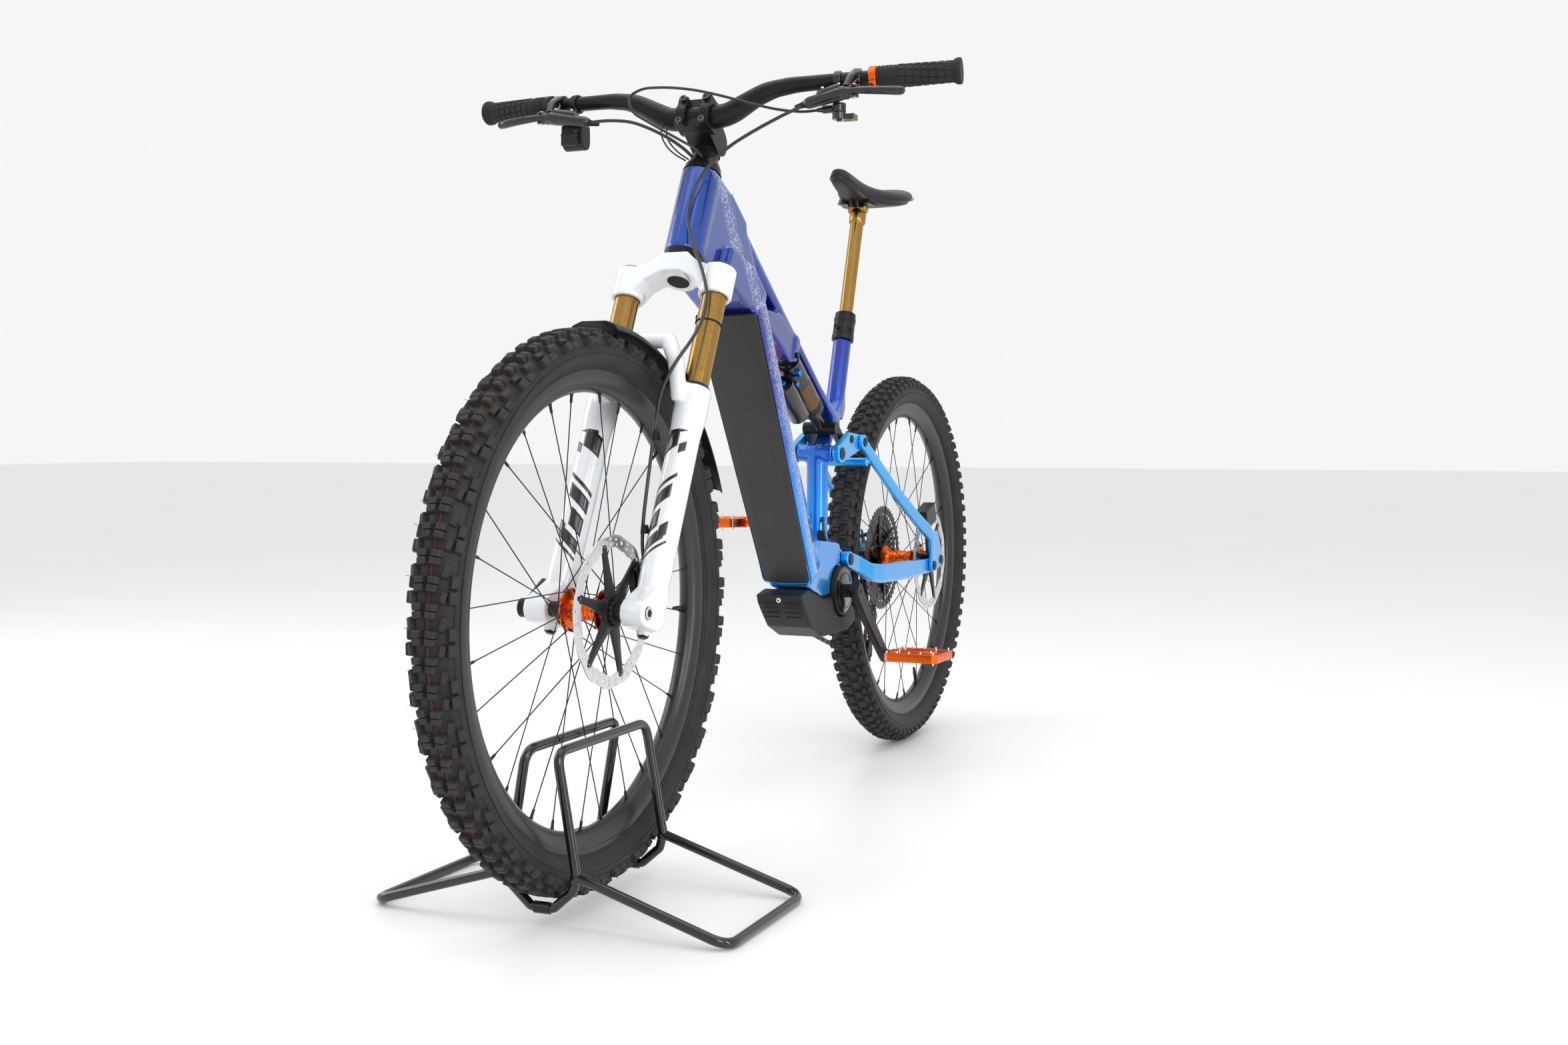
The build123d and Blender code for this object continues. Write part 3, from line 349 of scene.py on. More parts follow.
class Batch:
    """Collects many small closed solids into one piece."""

    def __init__(self):
        self.v, self.f = [], []

    def add(self, verts, faces):
        n = len(self.v)
        self.v += [tuple(p) for p in verts]
        self.f += [tuple(i + n for i in f) for f in faces]
        return self

    def box(self, m, lo, hi, taper=1.0, ty=None):
        """Box in the local frame m; the top (third axis) is taper times the base."""
        ty = taper if ty is None else ty
        cx, cy = (lo[0] + hi[0]) / 2, (lo[1] + hi[1]) / 2
        hx, hy = (hi[0] - lo[0]) / 2, (hi[1] - lo[1]) / 2
        pts = []
        for z, tx, t2 in ((lo[2], 1, 1), (hi[2], taper, ty)):
            for sx, sy in ((-1, -1), (1, -1), (1, 1), (-1, 1)):
                pts.append(m @ Vector((cx + sx * hx * tx, cy + sy * hy * t2, z)))
        return self.add(pts, [(3, 2, 1, 0), (4, 5, 6, 7), (0, 1, 5, 4), (1, 2, 6, 5), (2, 3, 7, 6), (3, 0, 4, 7)])

    def cyl(self, p, q, r, r2=None, seg=24, ch=None, prof=None):
        """Round bar from p to q (row frame, m); r in mm, with chamfered ends, or a profile of (share, r in mm)."""
        p, q = Vector(p), Vector(q)
        L = (q - p).length
        r2 = r if r2 is None else r2
        if prof is None:
            ch = min(0.8, r * 0.2, L * 200) if ch is None else ch
            c = ch / 1000 / max(L, 1e-9)
            prof = [(0, r - ch), (c, r), (1 - c, r2), (1, r2 - ch)]
        d = (q - p).normalized()
        up = Vector((0, 0, 1)) if abs(d.z) < 0.9 else Vector((1, 0, 0))
        a = d.cross(up).normalized()
        b = d.cross(a).normalized()
        pts, faces = [], []
        for t, rr in prof:
            c0 = p.lerp(q, t)
            for k in range(seg):
                an = 2 * math.pi * k / seg
                pts.append(c0 + (a * math.cos(an) + b * math.sin(an)) * rr / 1000)
        for j in range(len(prof) - 1):
            for k in range(seg):
                k2 = (k + 1) % seg
                faces.append((j * seg + k, j * seg + k2, (j + 1) * seg + k2, (j + 1) * seg + k))
        faces.append(tuple(range(seg))[::-1])
        faces.append(tuple((len(prof) - 1) * seg + k for k in range(seg)))
        return self.add(pts, faces)

    def prism(self, m, poly, z0, z1):
        """Polygon in the local x, y plane pushed from z0 to z1."""
        n = len(poly)
        pts = [m @ Vector((x, y, z0)) for x, y in poly] + [m @ Vector((x, y, z1)) for x, y in poly]
        faces = [tuple(range(n))[::-1], tuple(range(n, 2 * n))]
        faces += [(k, (k + 1) % n, n + (k + 1) % n, n + k) for k in range(n)]
        return self.add(pts, faces)

    def tube(self, pts, rad, seg=14, closed=False, flat=1.0, up=None):
        """Round tube along points (row frame, m); rad in mm, one or a list."""
        pts = [Vector(p) for p in pts]
        n = len(pts)
        rad = [rad] * n if isinstance(rad, (int, float)) else rad
        out, faces = [], []
        tan = []
        for k in range(n):
            a = pts[(k - 1) % n] if closed or k else pts[0]
            b = pts[(k + 1) % n] if closed or k < n - 1 else pts[-1]
            tan.append((b - a).normalized())
        ref = Vector(up) if up else (Vector((0, 0, 1)) if abs(tan[0].z) < 0.9 else Vector((1, 0, 0)))
        u = (ref - tan[0] * ref.dot(tan[0])).normalized()
        for k in range(n):
            u = (u - tan[k] * u.dot(tan[k])).normalized()
            w = tan[k].cross(u)
            for j in range(seg):
                an = 2 * math.pi * j / seg
                out.append(pts[k] + (u * math.cos(an) * flat + w * math.sin(an)) * rad[k] / 1000)
        m = n if closed else n - 1
        for k in range(m):
            k2 = (k + 1) % n
            shift = 0
            if closed and k == n - 1:
                best = min(range(seg), key=lambda s: (out[k * seg] - out[s]).length)
                shift = best
            for j in range(seg):
                j2 = (j + 1) % seg
                faces.append((k * seg + j, k * seg + j2, k2 * seg + (j2 + shift) % seg, k2 * seg + (j + shift) % seg))
        if not closed:
            faces.append(tuple(range(seg))[::-1])
            faces.append(tuple((n - 1) * seg + j for j in range(seg)))
        return self.add(out, faces)

    def done(self, name, mat, body, **kw):
        return new_piece(name, self.v, self.f, mat, body, **kw)


def spin_y(prof, cx, cz, seg=160, fn=P, closed=True):
    """Turn an outline of (radius, y) about the y axis through cx, cz (level frame, mm)."""
    v, f = [], []
    n = len(prof)
    for k in range(seg):
        a = 2 * math.pi * k / seg
        ca, sa = math.cos(a), math.sin(a)
        for r, y in prof:
            v.append(fn(cx + r * ca, y, cz + r * sa))
    m = n if closed else n - 1
    for k in range(seg):
        k2 = (k + 1) % seg
        for j in range(m):
            j2 = (j + 1) % n
            f.append((k * n + j, k2 * n + j, k2 * n + j2, k * n + j2))
    return v, f


def smooth_pts(pts, n=8):
    """Catmull-Rom through the points."""
    pts = [Vector(p) for p in pts]
    out = []
    for k in range(len(pts) - 1):
        p0 = pts[k - 1] if k else pts[0] * 2 - pts[1]
        p1, p2 = pts[k], pts[k + 1]
        p3 = pts[k + 2] if k + 2 < len(pts) else p2 * 2 - p1
        for j in range(n):
            t = j / n
            out.append(0.5 * ((2 * p1) + (p2 - p0) * t + (2 * p0 - 5 * p1 + 4 * p2 - p3) * t * t + (3 * p1 - p0 - 3 * p2 + p3) * t ** 3))
    out.append(pts[-1])
    return out


def fillet(pts, R, closed=False, n=7):
    """Polyline with its corners rounded to radius R (mm); points in m."""
    pts = [Vector(p) for p in pts]
    out = []
    N = len(pts)
    for k in range(N):
        if not closed and k in (0, N - 1):
            out.append(pts[k])
            continue
        a, b, c = pts[k - 1], pts[k], pts[(k + 1) % N]
        u, w = (a - b).normalized(), (c - b).normalized()
        ang = u.angle(w)
        r = R[k] if isinstance(R, (list, tuple)) else R
        t = min(r / 1000 / math.tan(ang / 2), 0.49 * min((a - b).length, (c - b).length))
        p, q = b + u * t, b + w * t
        for j in range(n + 1):
            s = j / n
            out.append((1 - s) ** 2 * p + 2 * s * (1 - s) * b + s * s * q)
    return out


def clone(name, mat, body=None, bevel=1.0, angle=32, remesh=0.0, smooth=0, factor=0.5, newname=None, bend=None):
    """A working copy of a CAD node, cleaned and softened, that stands for it."""
    src = CAD[name]
    me = src.data.copy()
    me.materials.clear()
    bm = bmesh.new()
    bm.from_mesh(me)
    bmesh.ops.remove_doubles(bm, verts=bm.verts, dist=2e-6)
    bm.to_mesh(me)
    bm.free()
    for a in ("custom_normal", "sharp_face"):
        if a in me.attributes:
            me.attributes.remove(me.attributes[a])
    o = bpy.data.objects.new(newname or (name + "_look"), me)
    bpy.context.scene.collection.objects.link(o)
    me.materials.append(M[mat])
    shade(me, 180 if remesh else angle)
    if remesh:
        r = o.modifiers.new("remesh", "REMESH")
        r.mode = "VOXEL"
        r.voxel_size = remesh / 1000
        r.use_smooth_shade = True
        if smooth:
            s = o.modifiers.new("smooth", "SMOOTH")
            s.factor = factor
            s.iterations = smooth
    elif bevel:
        b = o.modifiers.new("bevel", "BEVEL")
        b.width = bevel / 1000
        b.segments = 2
        b.limit_method = "ANGLE"
        b.angle_limit = math.radians(40)
        b.harden_normals = True
        b.use_clamp_overlap = True
    if bend:
        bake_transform(o)
    else:
        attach(o, body or src["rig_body"])
    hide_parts(name)
    return o


def cut(o, cutter_v, cutter_f, name="cut"):
    """Take a closed shape out of a piece and keep the result."""
    me = bpy.data.meshes.new(name)
    me.from_pydata([tuple(v) for v in cutter_v], [], [tuple(f) for f in cutter_f])
    c = bpy.data.objects.new(name, me)
    bpy.context.scene.collection.objects.link(c)
    b = o.modifiers.new("cut", "BOOLEAN")
    b.operation = "DIFFERENCE"
    b.solver = "EXACT"
    b.object = c
    dg = bpy.context.evaluated_depsgraph_get()
    new = bpy.data.meshes.new_from_object(o.evaluated_get(dg))
    o.modifiers.clear()
    o.data = new
    bpy.data.objects.remove(c)
    return o

# ===================================================================== wheels
def wheel(tag, body, cx, cz, rows, seed, front):
    r0 = random.Random(seed)
    # casing with a soft shoulder, seated on the rim
    half = [(366.0, 0), (365.6, 5), (364.2, 11), (361.2, 17), (356.5, 22.5), (350.5, 26.6), (343.5, 28.8), (336, 28.6), (329, 26.4), (323, 22.6), (319.2, 18.6), (317.4, 16.6), (313, 15.6), (311.5, 12.0)]
    prof = half + [(318, 10)] + [(318, -10)] + [(r, -y) for r, y in half[::-1][:-1]]
    v, f = spin_y(prof, cx, cz, 200)
    o = new_piece(tag + "_casing", v, f, "casing", body, angle=50, slot="tyre")
    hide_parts(tag + "_tyre")
    # bead line and two fine ribs on each sidewall
    b = Batch()
    for s in (-1, 1):
        for r, y, w in ((320.6, 20.2, 0.9), (338.5, 29.1, 0.5), (348.8, 27.6, 0.45)):
            v, f = spin_y([(r - w, s * (y - 0.4)), (r - w * 0.5, s * (y + 0.45)), (r + w * 0.5, s * (y + 0.45)), (r + w, s * (y - 0.4))], cx, cz, 160)
            b.add(v, f)
    b.done(tag + "_ribs", "casing", body)
    # tread blocks
    b = Batch()

    def block(th, y, r, phi, lt, lw, h, tap=0.82, split=0.0, skew=0.0):
        er = Vector((math.cos(th), 0, math.sin(th)))
        et = Vector((-math.sin(th), 0, math.cos(th)))
        ey = Vector((0, 1, 0))
        n = er * math.cos(phi) + ey * math.sin(phi)
        w = ey * math.cos(phi) - er * math.sin(phi)
        t2 = (et * math.cos(skew) + w * math.sin(skew)).normalized()
        w = n.cross(t2).normalized()
        o3 = Vector((cx, 0, cz)) + er * r + ey * y
        halves = ((-1, 1),) if not split else ((-1, -split), (split, 1))
        for a, c in halves:
            pts = []
            for hh, tp in ((-2.2, 1.0), (h - 0.9, tap + 0.03), (h, tap - 0.10)):
                for st, sw in ((-1, -1), (1, -1), (1, 1), (-1, 1)):
                    tt = (a if st < 0 else c) * lt / 2
                    edge = abs(a if st < 0 else c) == 1
                    q = o3 + t2 * (tt * (tp if edge else 1.0)) + w * (sw * lw / 2 * tp) + n * hh
                    pts.append(P(q.x, q.y, q.z))
            fc = [(3, 2, 1, 0), (8, 9, 10, 11)]
            for L in (0, 4):
                fc += [(L + k, L + (k + 1) % 4, L + 4 + (k + 1) % 4, L + 4 + k) for k in range(4)]
            b.add(pts, fc)

    n = rows["n"]
    for k in range(n):
        th = 2 * math.pi * k / n
        st = 2 * math.pi / n
        alt = k % 2
        for s in (-1, 1):
            if front:
                block(th, s * 8.6, 364.6, s * 0.09, 18.5, 13.0, 7.2, 0.86, 0.08, s * 0.12)
                block(th + st * 0.5, s * (19.0 if alt else 19.8), 358.8, s * 0.50, 14.5 if alt else 17, 8.0, 6.6, 0.82, 0.0, s * 0.20)
                block(th + st * (0.5 if alt else 0.1), s * 25.6, 351.6 + (1.2 if alt else 0), s * (0.98 if alt else 0.90), 16.5, 11.5 if alt else 10.0, 7.6 if alt else 6.8, 0.80)
            else:
                block(th + st * 0.25 * s, s * 7.6, 364.8, s * 0.09, 13.5, 13.0, 6.4, 0.88, 0.12)
                block(th + st * (0.5 + 0.2 * alt), s * 18.0, 359.9, s * 0.46, 13.5, 8.5, 5.8, 0.84)
                block(th + st * 0.35, s * 25.2, 352.4, s * 0.92, 15.5, 11.0, 7.0, 0.80)
            if r0.random() < 0.55:   # moulding whisker at the shoulder
                t = th + st * 0.3
                er = Vector((math.cos(t), 0, math.sin(t)))
                p = Vector((cx, 0, cz)) + er * 357.5 + Vector((0, s * 30.2, 0))
                q = p + er * r0.uniform(1.5, 4) + Vector((0, s * r0.uniform(2.5, 4.5), 0))
                b.cyl(P(*p), P(*q), 0.35, 0.2, seg=5, ch=0.02)
    b.done(tag + "_tread", "tyre", body, angle=20, bevel=0.0)
    if front:
        for y, mat, w in ((3.4 - 3.4, "dark", 0.8), (0.0, "orange_line", 0.0)):
            if mat == "dark":
                # dark ring on the tyre crown: painted shade of the centre groove
                v, f = spin_y([(365.7, -0.9), (366.5, -0.8), (366.5, 0.8), (365.7, 0.9)], cx, cz, 200)
                new_piece(tag + "_groove_shade", v, f, "dark", body)
        v, f = spin_y([(365.4, 3.2), (366.5, 3.4), (366.5, 5.0), (365.4, 5.2)], cx, cz, 200)
        new_piece(tag + "_line", v, f, "stripe", body)
    # rim with an eased edge and a shallow shoulder
    prof = [(311.6, 13.2), (311.6, 11.6), (317.4, 11.9), (318.1, 14.6), (317.3, 17.1), (314.5, 17.6), (308, 17.3), (301, 15.6), (294.5, 11.6), (289.6, 6.6), (287.9, 2.6), (287.7, 0)]
    prof = prof + [(r, -y) for r, y in prof[::-1][1:]]
    v, f = spin_y(prof, cx, cz, 220)
    o = new_piece(tag + "_rim_look", v, f, "carbon", body, angle=50)
    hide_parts(tag + "_rim")


M["stripe"] = finish_of("tread_line", (0.10, 0.024, 0.011), 0.7, 0, 0, 0.1, 900, 0.45, 0.08, 60, spec=0.2)
wheel("front", "front_wheel", WB, 0, {"n": 76}, 3, True)
wheel("rear", "rear_wheel", 0, 0, {"n": 84}, 5, False)


def spoke_set(tag, body, cx, cz, yl, yr, fr, phase, off, rot):
    b, nb = Batch(), Batch()
    for k in range(28):
        left = k % 2 == 0
        lead = (k // 2) % 2 == 0
        a = math.radians(phase + rot + 360.0 * k / 28)
        c = a + math.radians(64 if lead else -64)
        y0 = (yl if left else yr) + (off if lead else -off)
        y1 = 2.5 if left else -2.5
        p = Vector((cx + fr * math.cos(c), y0, cz + fr * math.sin(c)))
        q = Vector((cx + 287.6 * math.cos(a), y1, cz + 287.6 * math.sin(a)))
        L = (q - p).length
        d = (q - p).normalized()
        b.cyl(P(*p), P(*q), 1.0, seg=8, prof=[(0, 1.1), (0.03, 1.1), (0.06, 0.8), (0.93, 0.8), (0.96, 1.05), (1, 1.05)])
        b.cyl(P(*(p - d * 1.5)), P(*(p + d * 0.6)), 2.0, seg=10)
        nb.cyl(P(*(q - d * 12)), P(*(q + d * 0.5)), 2.1, seg=10, prof=[(0, 1.5), (0.08, 1.9), (0.75, 1.95), (0.8, 2.5), (1, 2.6)])
    o = b.done(tag + "_spokes_look", "black", body)
    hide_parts(tag + "_spokes")
    nb.done(tag + "_nipples", "black", body)


spoke_set("front", "front_wheel", WB, 0, 24.1, -27.1, 27.5, 90 + 6.43 + 25, 3.0, 25)
spoke_set("rear", "rear_wheel", 0, 0, 35, -35, 27.5, 90 + 6.43, 3.3, 0)


def ring_curve(name, outline, holes, half, mat, body, cx, cz, y, bev=0.15):
    """Flat plate in the wheel plane with true holes: outline and holes are lists of (u, v) in mm round cx, cz."""
    cu = bpy.data.curves.new(name, "CURVE")
    cu.dimensions = "2D"
    cu.fill_mode = "BOTH"
    cu.extrude = half / 1000
    cu.bevel_depth = bev / 1000
    for pts in [outline] + holes:
        sp = cu.splines.new("POLY")
        sp.points.add(len(pts) - 1)
        for k, (a, c) in enumerate(pts):
            sp.points[k].co = (a / 1000, c / 1000, 0, 1)
        sp.use_cyclic_u = True
    tmp = bpy.data.objects.new(name + "_c", cu)
    bpy.context.scene.collection.objects.link(tmp)
    bpy.context.view_layer.update()
    dg = bpy.context.evaluated_depsgraph_get()
    me = bpy.data.meshes.new_from_object(tmp.evaluated_get(dg))
    bpy.data.objects.remove(tmp)
    for vtx in me.vertices:
        c = vtx.co * 1000
        vtx.co = P(cx + c.x, y + c.z, cz + c.y)
    me.materials.clear()
    me.materials.append(M[mat])
    o = bpy.data.objects.new(name, me)
    bpy.context.scene.collection.objects.link(o)
    bm = bmesh.new()
    bm.from_mesh(me)
    bmesh.ops.remove_doubles(bm, verts=bm.verts, dist=1e-6)
    bm.to_mesh(me)
    bm.free()
    shade(me, 30)
    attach(o, body)
    return o


def circ(u, v, r, n=14):
    return [(u + r * math.cos(2 * math.pi * k / n), v + r * math.sin(2 * math.pi * k / n)) for k in range(n)]


def polar(r, a):
    return (r * math.cos(a), r * math.sin(a))


def rotor(tag, body, cx, cz, y, ycap):
    out, inn, holes = [], [], []
    for k in range(360):
        a = 2 * math.pi * k / 360
        out.append(polar(100.4 + 1.1 * math.sin(a * 12), a))
    for k in range(240):
        a = 2 * math.pi * k / 240
        inn.append(polar(83.5 - 1.8 * max(0, math.cos(a * 6)) ** 8 * 2.2 + 1.6 * math.sin(a * 12 + 1), a))
    for k in range(36):
        a = 2 * math.pi * (k + 0.5) / 36
        if k % 3 == 0:
            holes.append(circ(*polar(95.5, a), 2.6))
            holes.append(circ(*polar(88.8, a + 0.03), 2.2))
        elif k % 3 == 1:
            holes.append(circ(*polar(92.3, a), 3.3))
        else:
            holes.append(circ(*polar(96.3, a), 2.3))
            holes.append(circ(*polar(89.2, a), 2.6))
    o = ring_curve(tag + "_rotor_ring", out, [inn] + holes, 0.8, "steel", body, cx, cz, y)
    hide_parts(tag + "_rotor")
    b, rv = Batch(), Batch()
    for k in range(6):
        a = 2 * math.pi * k / 6 + math.radians(15 if tag == "front" else 8)
        er, et = Vector((math.cos(a), 0, math.sin(a))), Vector((-math.sin(a), 0, math.cos(a)))
        c0 = Vector((cx, y, cz))
        for s in (-1, 1):
            pass
        pts, fc = [], []
        prof = [(18, 11.5, 3.0), (34, 9.0, 3.0), (56, 6.4, 2.4), (78, 5.4, 1.9), (88, 6.0, 1.5), (91, 3.5, 1.3)]
        for r, hw, hy in prof:
            for sw, sy in ((-1, -1), (-0.55, -1.35), (0.55, -1.35), (1, -1), (1, 1), (0.55, 1.35), (-0.55, 1.35), (-1, 1)):
                q = c0 + er * r + et * (hw * sw) + Vector((0, hy * sy * 0.75, 0))
                pts.append(P(*q))
        m = 8
        for j in range(len(prof) - 1):
            for k2 in range(m):
                fc.append((j * m + k2, j * m + (k2 + 1) % m, (j + 1) * m + (k2 + 1) % m, (j + 1) * m + k2))
        fc.append(tuple(range(m))[::-1])
        fc.append(tuple((len(prof) - 1) * m + k2 for k2 in range(m)))
        b.add(pts, fc)
        q = c0 + er * 86.5
        rv.cyl(P(q.x, y - 1.5, q.z), P(q.x, y + 1.5, q.z), 3.1, seg=18, ch=0.3)
    sgn = 1
    b.cyl(P(cx, y - 3.4, cz), P(cx, y + 3.4, cz), 24.0, seg=48, ch=1.2)
    b.done(tag + "_spider", "black", body, angle=28)
    rv.done(tag + "_rotor_rivets", "steel", body)
    # splined lock ring
    b = Batch()
    b.cyl(P(cx, y + 3.2, cz), P(cx, y + ycap, cz), 17.5, seg=40, ch=0.6)
    for k in range(16):
        a = 2 * math.pi * k / 16
        m4 = Matrix.Translation(P(cx, y + 3.2, cz))
        er = Vector((math.cos(a), 0, math.sin(a)))
        c0 = Vector((cx, 0, cz)) + er * 17.8
        b.cyl(P(c0.x, y + 3.3, c0.z), P(c0.x, y + ycap - 0.4, c0.z), 1.7, seg=8)
    b.done(tag + "_lock_ring", "black", body)


rotor("front", "front_wheel", WB, 0, 36.0, 8.5)
rotor("rear", "rear_wheel", 0, 0, 59.5, 6.5)


def hub(tag, body, cx, cz, prof, caps, fl):
    v, f = spin_y(prof, cx, cz, 96)
    o = new_piece(tag + "_hub_look", v, f, "orange", body, angle=40, slot="orange")
    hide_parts(tag + "_hub")
    b = Batch()
    for y0, y1, r in caps:
        pr = [(6.8, y0), (r - 0.8, y0), (r, y0 + (0.8 if y1 > y0 else -0.8)), (r, y1), (6.8, y1)]
        v, f = spin_y(pr, cx, cz, 64)
        b.add(v, f)
    b.done(tag + "_hub_ends", "black", body)
    # milled pockets between the spoke holes, filled with dark plugs as painted shade
    h = Batch()
    for yf, s in fl:
        for k in range(14):
            a = 2 * math.pi * k / 14
            c0 = Vector((cx + 24.6 * math.cos(a), 0, cz + 24.6 * math.sin(a)))
            h.cyl(P(c0.x, yf - 2.05, c0.z), P(c0.x, yf + 2.05, c0.z), 1.5, seg=10, ch=0.1)
    h.done(tag + "_hub_hole_shade", "dark", body)


hub("front", "front_wheel", WB, 0,
    [(7.6, -35), (15, -35), (15.6, -34), (16, -29.5), (22, -29.2), (28.2, -28.8), (29, -28.2), (29, -26.2), (28.2, -25.6), (21, -25), (15.5, -22.5), (13.4, -17), (12.9, -8), (12.9, 6), (13.6, 14), (16, 20), (21.5, 22.2), (28.2, 22.9), (29, 23.5), (29, 25.0), (28.2, 25.7), (18, 26.2), (17, 32.0), (7.6, 32.0)],
    [(-54.6, -34.5, 10.6), (54.6, 44, 11.5)], [(-27.3, -1), (24.2, 1)])
hub("rear", "rear_wheel", 0, 0,
    [(6.2, -38), (15, -38), (17, -37.4), (28.2, -37), (29, -36.4), (29, -33.8), (28.2, -33.2), (22, -32), (17, -28), (15, -20), (14.6, 0), (15, 20), (17, 28), (22, 32), (28.2, 33.2), (29, 33.8), (29, 36.4), (28.2, 37), (19, 38.5), (17.5, 42), (17.2, 55.5), (6.2, 55.5)],
    [(73.8, 66, 10.6)], [(-35, -1), (35, 1)])
b = Batch()   # grooves turned in the hub barrels
for cx, y0, y1, r in ((WB, -20, 18, 13.2), (0, -24, 24, 15.0)):
    for k in range(5):
        y = y0 + (y1 - y0) * (k + 1) / 6
        v, f = spin_y([(r - 0.3, y - 0.9), (r + 0.55, y - 0.5), (r + 0.55, y + 0.5), (r - 0.3, y + 0.9)], cx, 0, 64)
        b.add(v, f)
    b.done("hub_rings_%d" % (cx > 0), "orange", "front_wheel" if cx else "rear_wheel")
    b = Batch()
# valve, on the far side of the front rim as seen from ahead, and on the rear rim
for tag, body, cx, an in (("front", "front_wheel", WB, math.radians(184)), ("rear", "rear_wheel", 0, math.radians(250))):
    er = Vector((math.cos(an), 0, math.sin(an)))
    p = Vector((cx, 0, 0)) + er * 289
    q = Vector((cx, 0, 0)) + er * 250
    b = Batch()
    b.cyl(P(*p), P(*q), 3, seg=16, prof=[(0, 4.6), (0.1, 4.6), (0.12, 3.0), (0.55, 3.0), (0.57, 3.6), (0.95, 2.6), (1, 1.9)])
    b.done(tag + "_valve", "black", body)

# ======================================================================= fork
LEGO, LEGY = 11.8, 70.5
low = clone("fork_lowers", "white", remesh=1.7, smooth=9, factor=0.55)
clone("mudguard", "plastic", bevel=0.6)
b = Batch()      # empty batch; no ribs are drawn on the mudguard
clone("front_calliper", "black", bevel=1.6)
clone("rear_calliper", "black", bevel=1.6)
ax = clone("front_axle", "black", bevel=1.8)
b = Batch()      # drilled end of the axle with a dark hex as painted socket shade, foot nuts and clip
b.cyl(P(WB, 90.1, 0), P(WB, 91.3, 0), 8.8, seg=32, ch=0.4)
b.done("axle_face", "steel", "thru_axle")
b = Batch()
b.cyl(P(WB, 91.2, 0), P(WB, 91.7, 0), 5.4, seg=6, ch=0.1)
b.done("axle_hex_shade", "dark", "thru_axle")
b = Batch()
for s in (-1, 1):
    b.cyl(S(LEGO, s * LEGY, -22.4), S(LEGO, s * LEGY, -4), 8.8, seg=6, ch=0.7)
    b.cyl(S(LEGO, s * LEGY, -24.5), S(LEGO, s * LEGY, -21), 5.2, seg=24, ch=0.6)
b.done("foot_nuts", "black", "fork_slider")
b = Batch()      # dust seals
for s in (-1, 1):
    b.cyl(S(LEGO, s * LEGY, 342.8), S(LEGO, s * LEGY, 348.6), 22.2, 19.4, seg=56, ch=0.8)
b.done("dust_seals", "rubber", "fork_slider")
st = Batch()
for s in (-1, 1):
    st.cyl(S(LEGO, s * LEGY, 178.5), S(LEGO, s * LEGY, 534), 18.0, seg=96, ch=0.3)
o = st.done("stanchion_tubes", "gold", "steering", angle=30, slot="gold")
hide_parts("stanchions")
b = Batch()      # travel ring
v, f = [], []
pts = []
for k in range(48):
    a = 2 * math.pi * k / 48
    pts.append(S(LEGO + 18.6 * math.cos(a), LEGY + 18.6 * math.sin(a), 447))
b.tube(pts, 1.3, seg=8, closed=True)
b.done("travel_ring", "rubber", "steering")
clone("fork_crown", "white", remesh=1.4, smooth=8, factor=0.55)
# dark disc in the steerer top: painted shade of its open mouth
b = Batch()
b.cyl(S(0, 0, 526.0), S(0, 0, 527.6), 16.5, seg=48, ch=0.3)
b.done("steerer_mouth_shade", "dark", "steering")
b = Batch()      # top caps
b.cyl(S(LEGO, -LEGY, 536.5), S(LEGO, -LEGY, 541), 19.5, seg=56, ch=1.2)
b.cyl(S(LEGO, -LEGY, 541), S(LEGO, -LEGY, 543.6), 12, seg=8, ch=0.8)
b.done("air_cap", "blue", "steering")
b = Batch()
b.cyl(S(LEGO, LEGY, 536.5), S(LEGO, LEGY, 541), 19.5, seg=56, ch=1.2)
b.cyl(S(LEGO, LEGY, 541), S(LEGO, LEGY, 546), 12, seg=32, ch=1.0)
b.done("damper_cap", "black", "steering")


def leg_print(name, s, a0, a1, t0, t1, shear, mat="decal", r=21.62, n=10, m=6, c=(LEGO,), top=None):
    """Slanted block printed on a fork leg; t is the angle round the leg in degrees, 0 ahead, positive outward."""
    v, f = [], []
    for i in range(m + 1):
        a = a0 + (a1 - a0) * i / m
        for j in range(n + 1):
            t = t0 + (t1 - t0) * j / n
            aa = a + shear * (t - t0) / 10
            tt = math.radians(t)
            rr = r
            if aa < 62:
                rr = 19 + (aa + 6) / 68 * 2.5 + 0.12
            v.append(S(LEGO + rr * math.cos(tt), s * (LEGY + rr * math.sin(tt)), aa))
    for i in range(m):
        for j in range(n):
            k = i * (n + 1) + j
            f.append((k, k + 1, k + n + 2, k + n + 1))
    o = new_piece(name, v, f, mat, "fork_slider", angle=60)
    so = o.modifiers.new("s", "SOLIDIFY")
    so.thickness = 0.00025
    so.offset = 0
    return o


k = 0
for s in (-1, 1):
    for a0, a1, t0, t1, sh in ((232, 262, -62, 8, 2.2), (236, 250, 14, 40, 2.2), (262, 272, -40, 40, 1.2),
                               (172, 178, -70, 30, 3.0), (146, 166, -66, 20, 3.0), (112, 138, -60, -6, 3.0), (108, 128, 4, 34, 3.0), (86, 104, -58, 26, 3.0), (76, 80, -58, 40, 3.0)):
        k += 1
        leg_print("leg_print_%02d" % k, s, a0, a1, t0, t1, sh)

# small clips holding the hose to the lowers
b = Batch()
for at in ((1186, 44.5, 232), (1217, 44, 106)):
    c = P(*at)
    m4 = basis(P, *at)
    b.box(m4, (-5, -3, -6), (5, 6, 6), 0.8)
b.cyl(P(1182, 46, 240), P(1190, 46, 238), 3.2, seg=16)
b.done("hose_clips", "black", "fork_slider", bevel=0.0006)

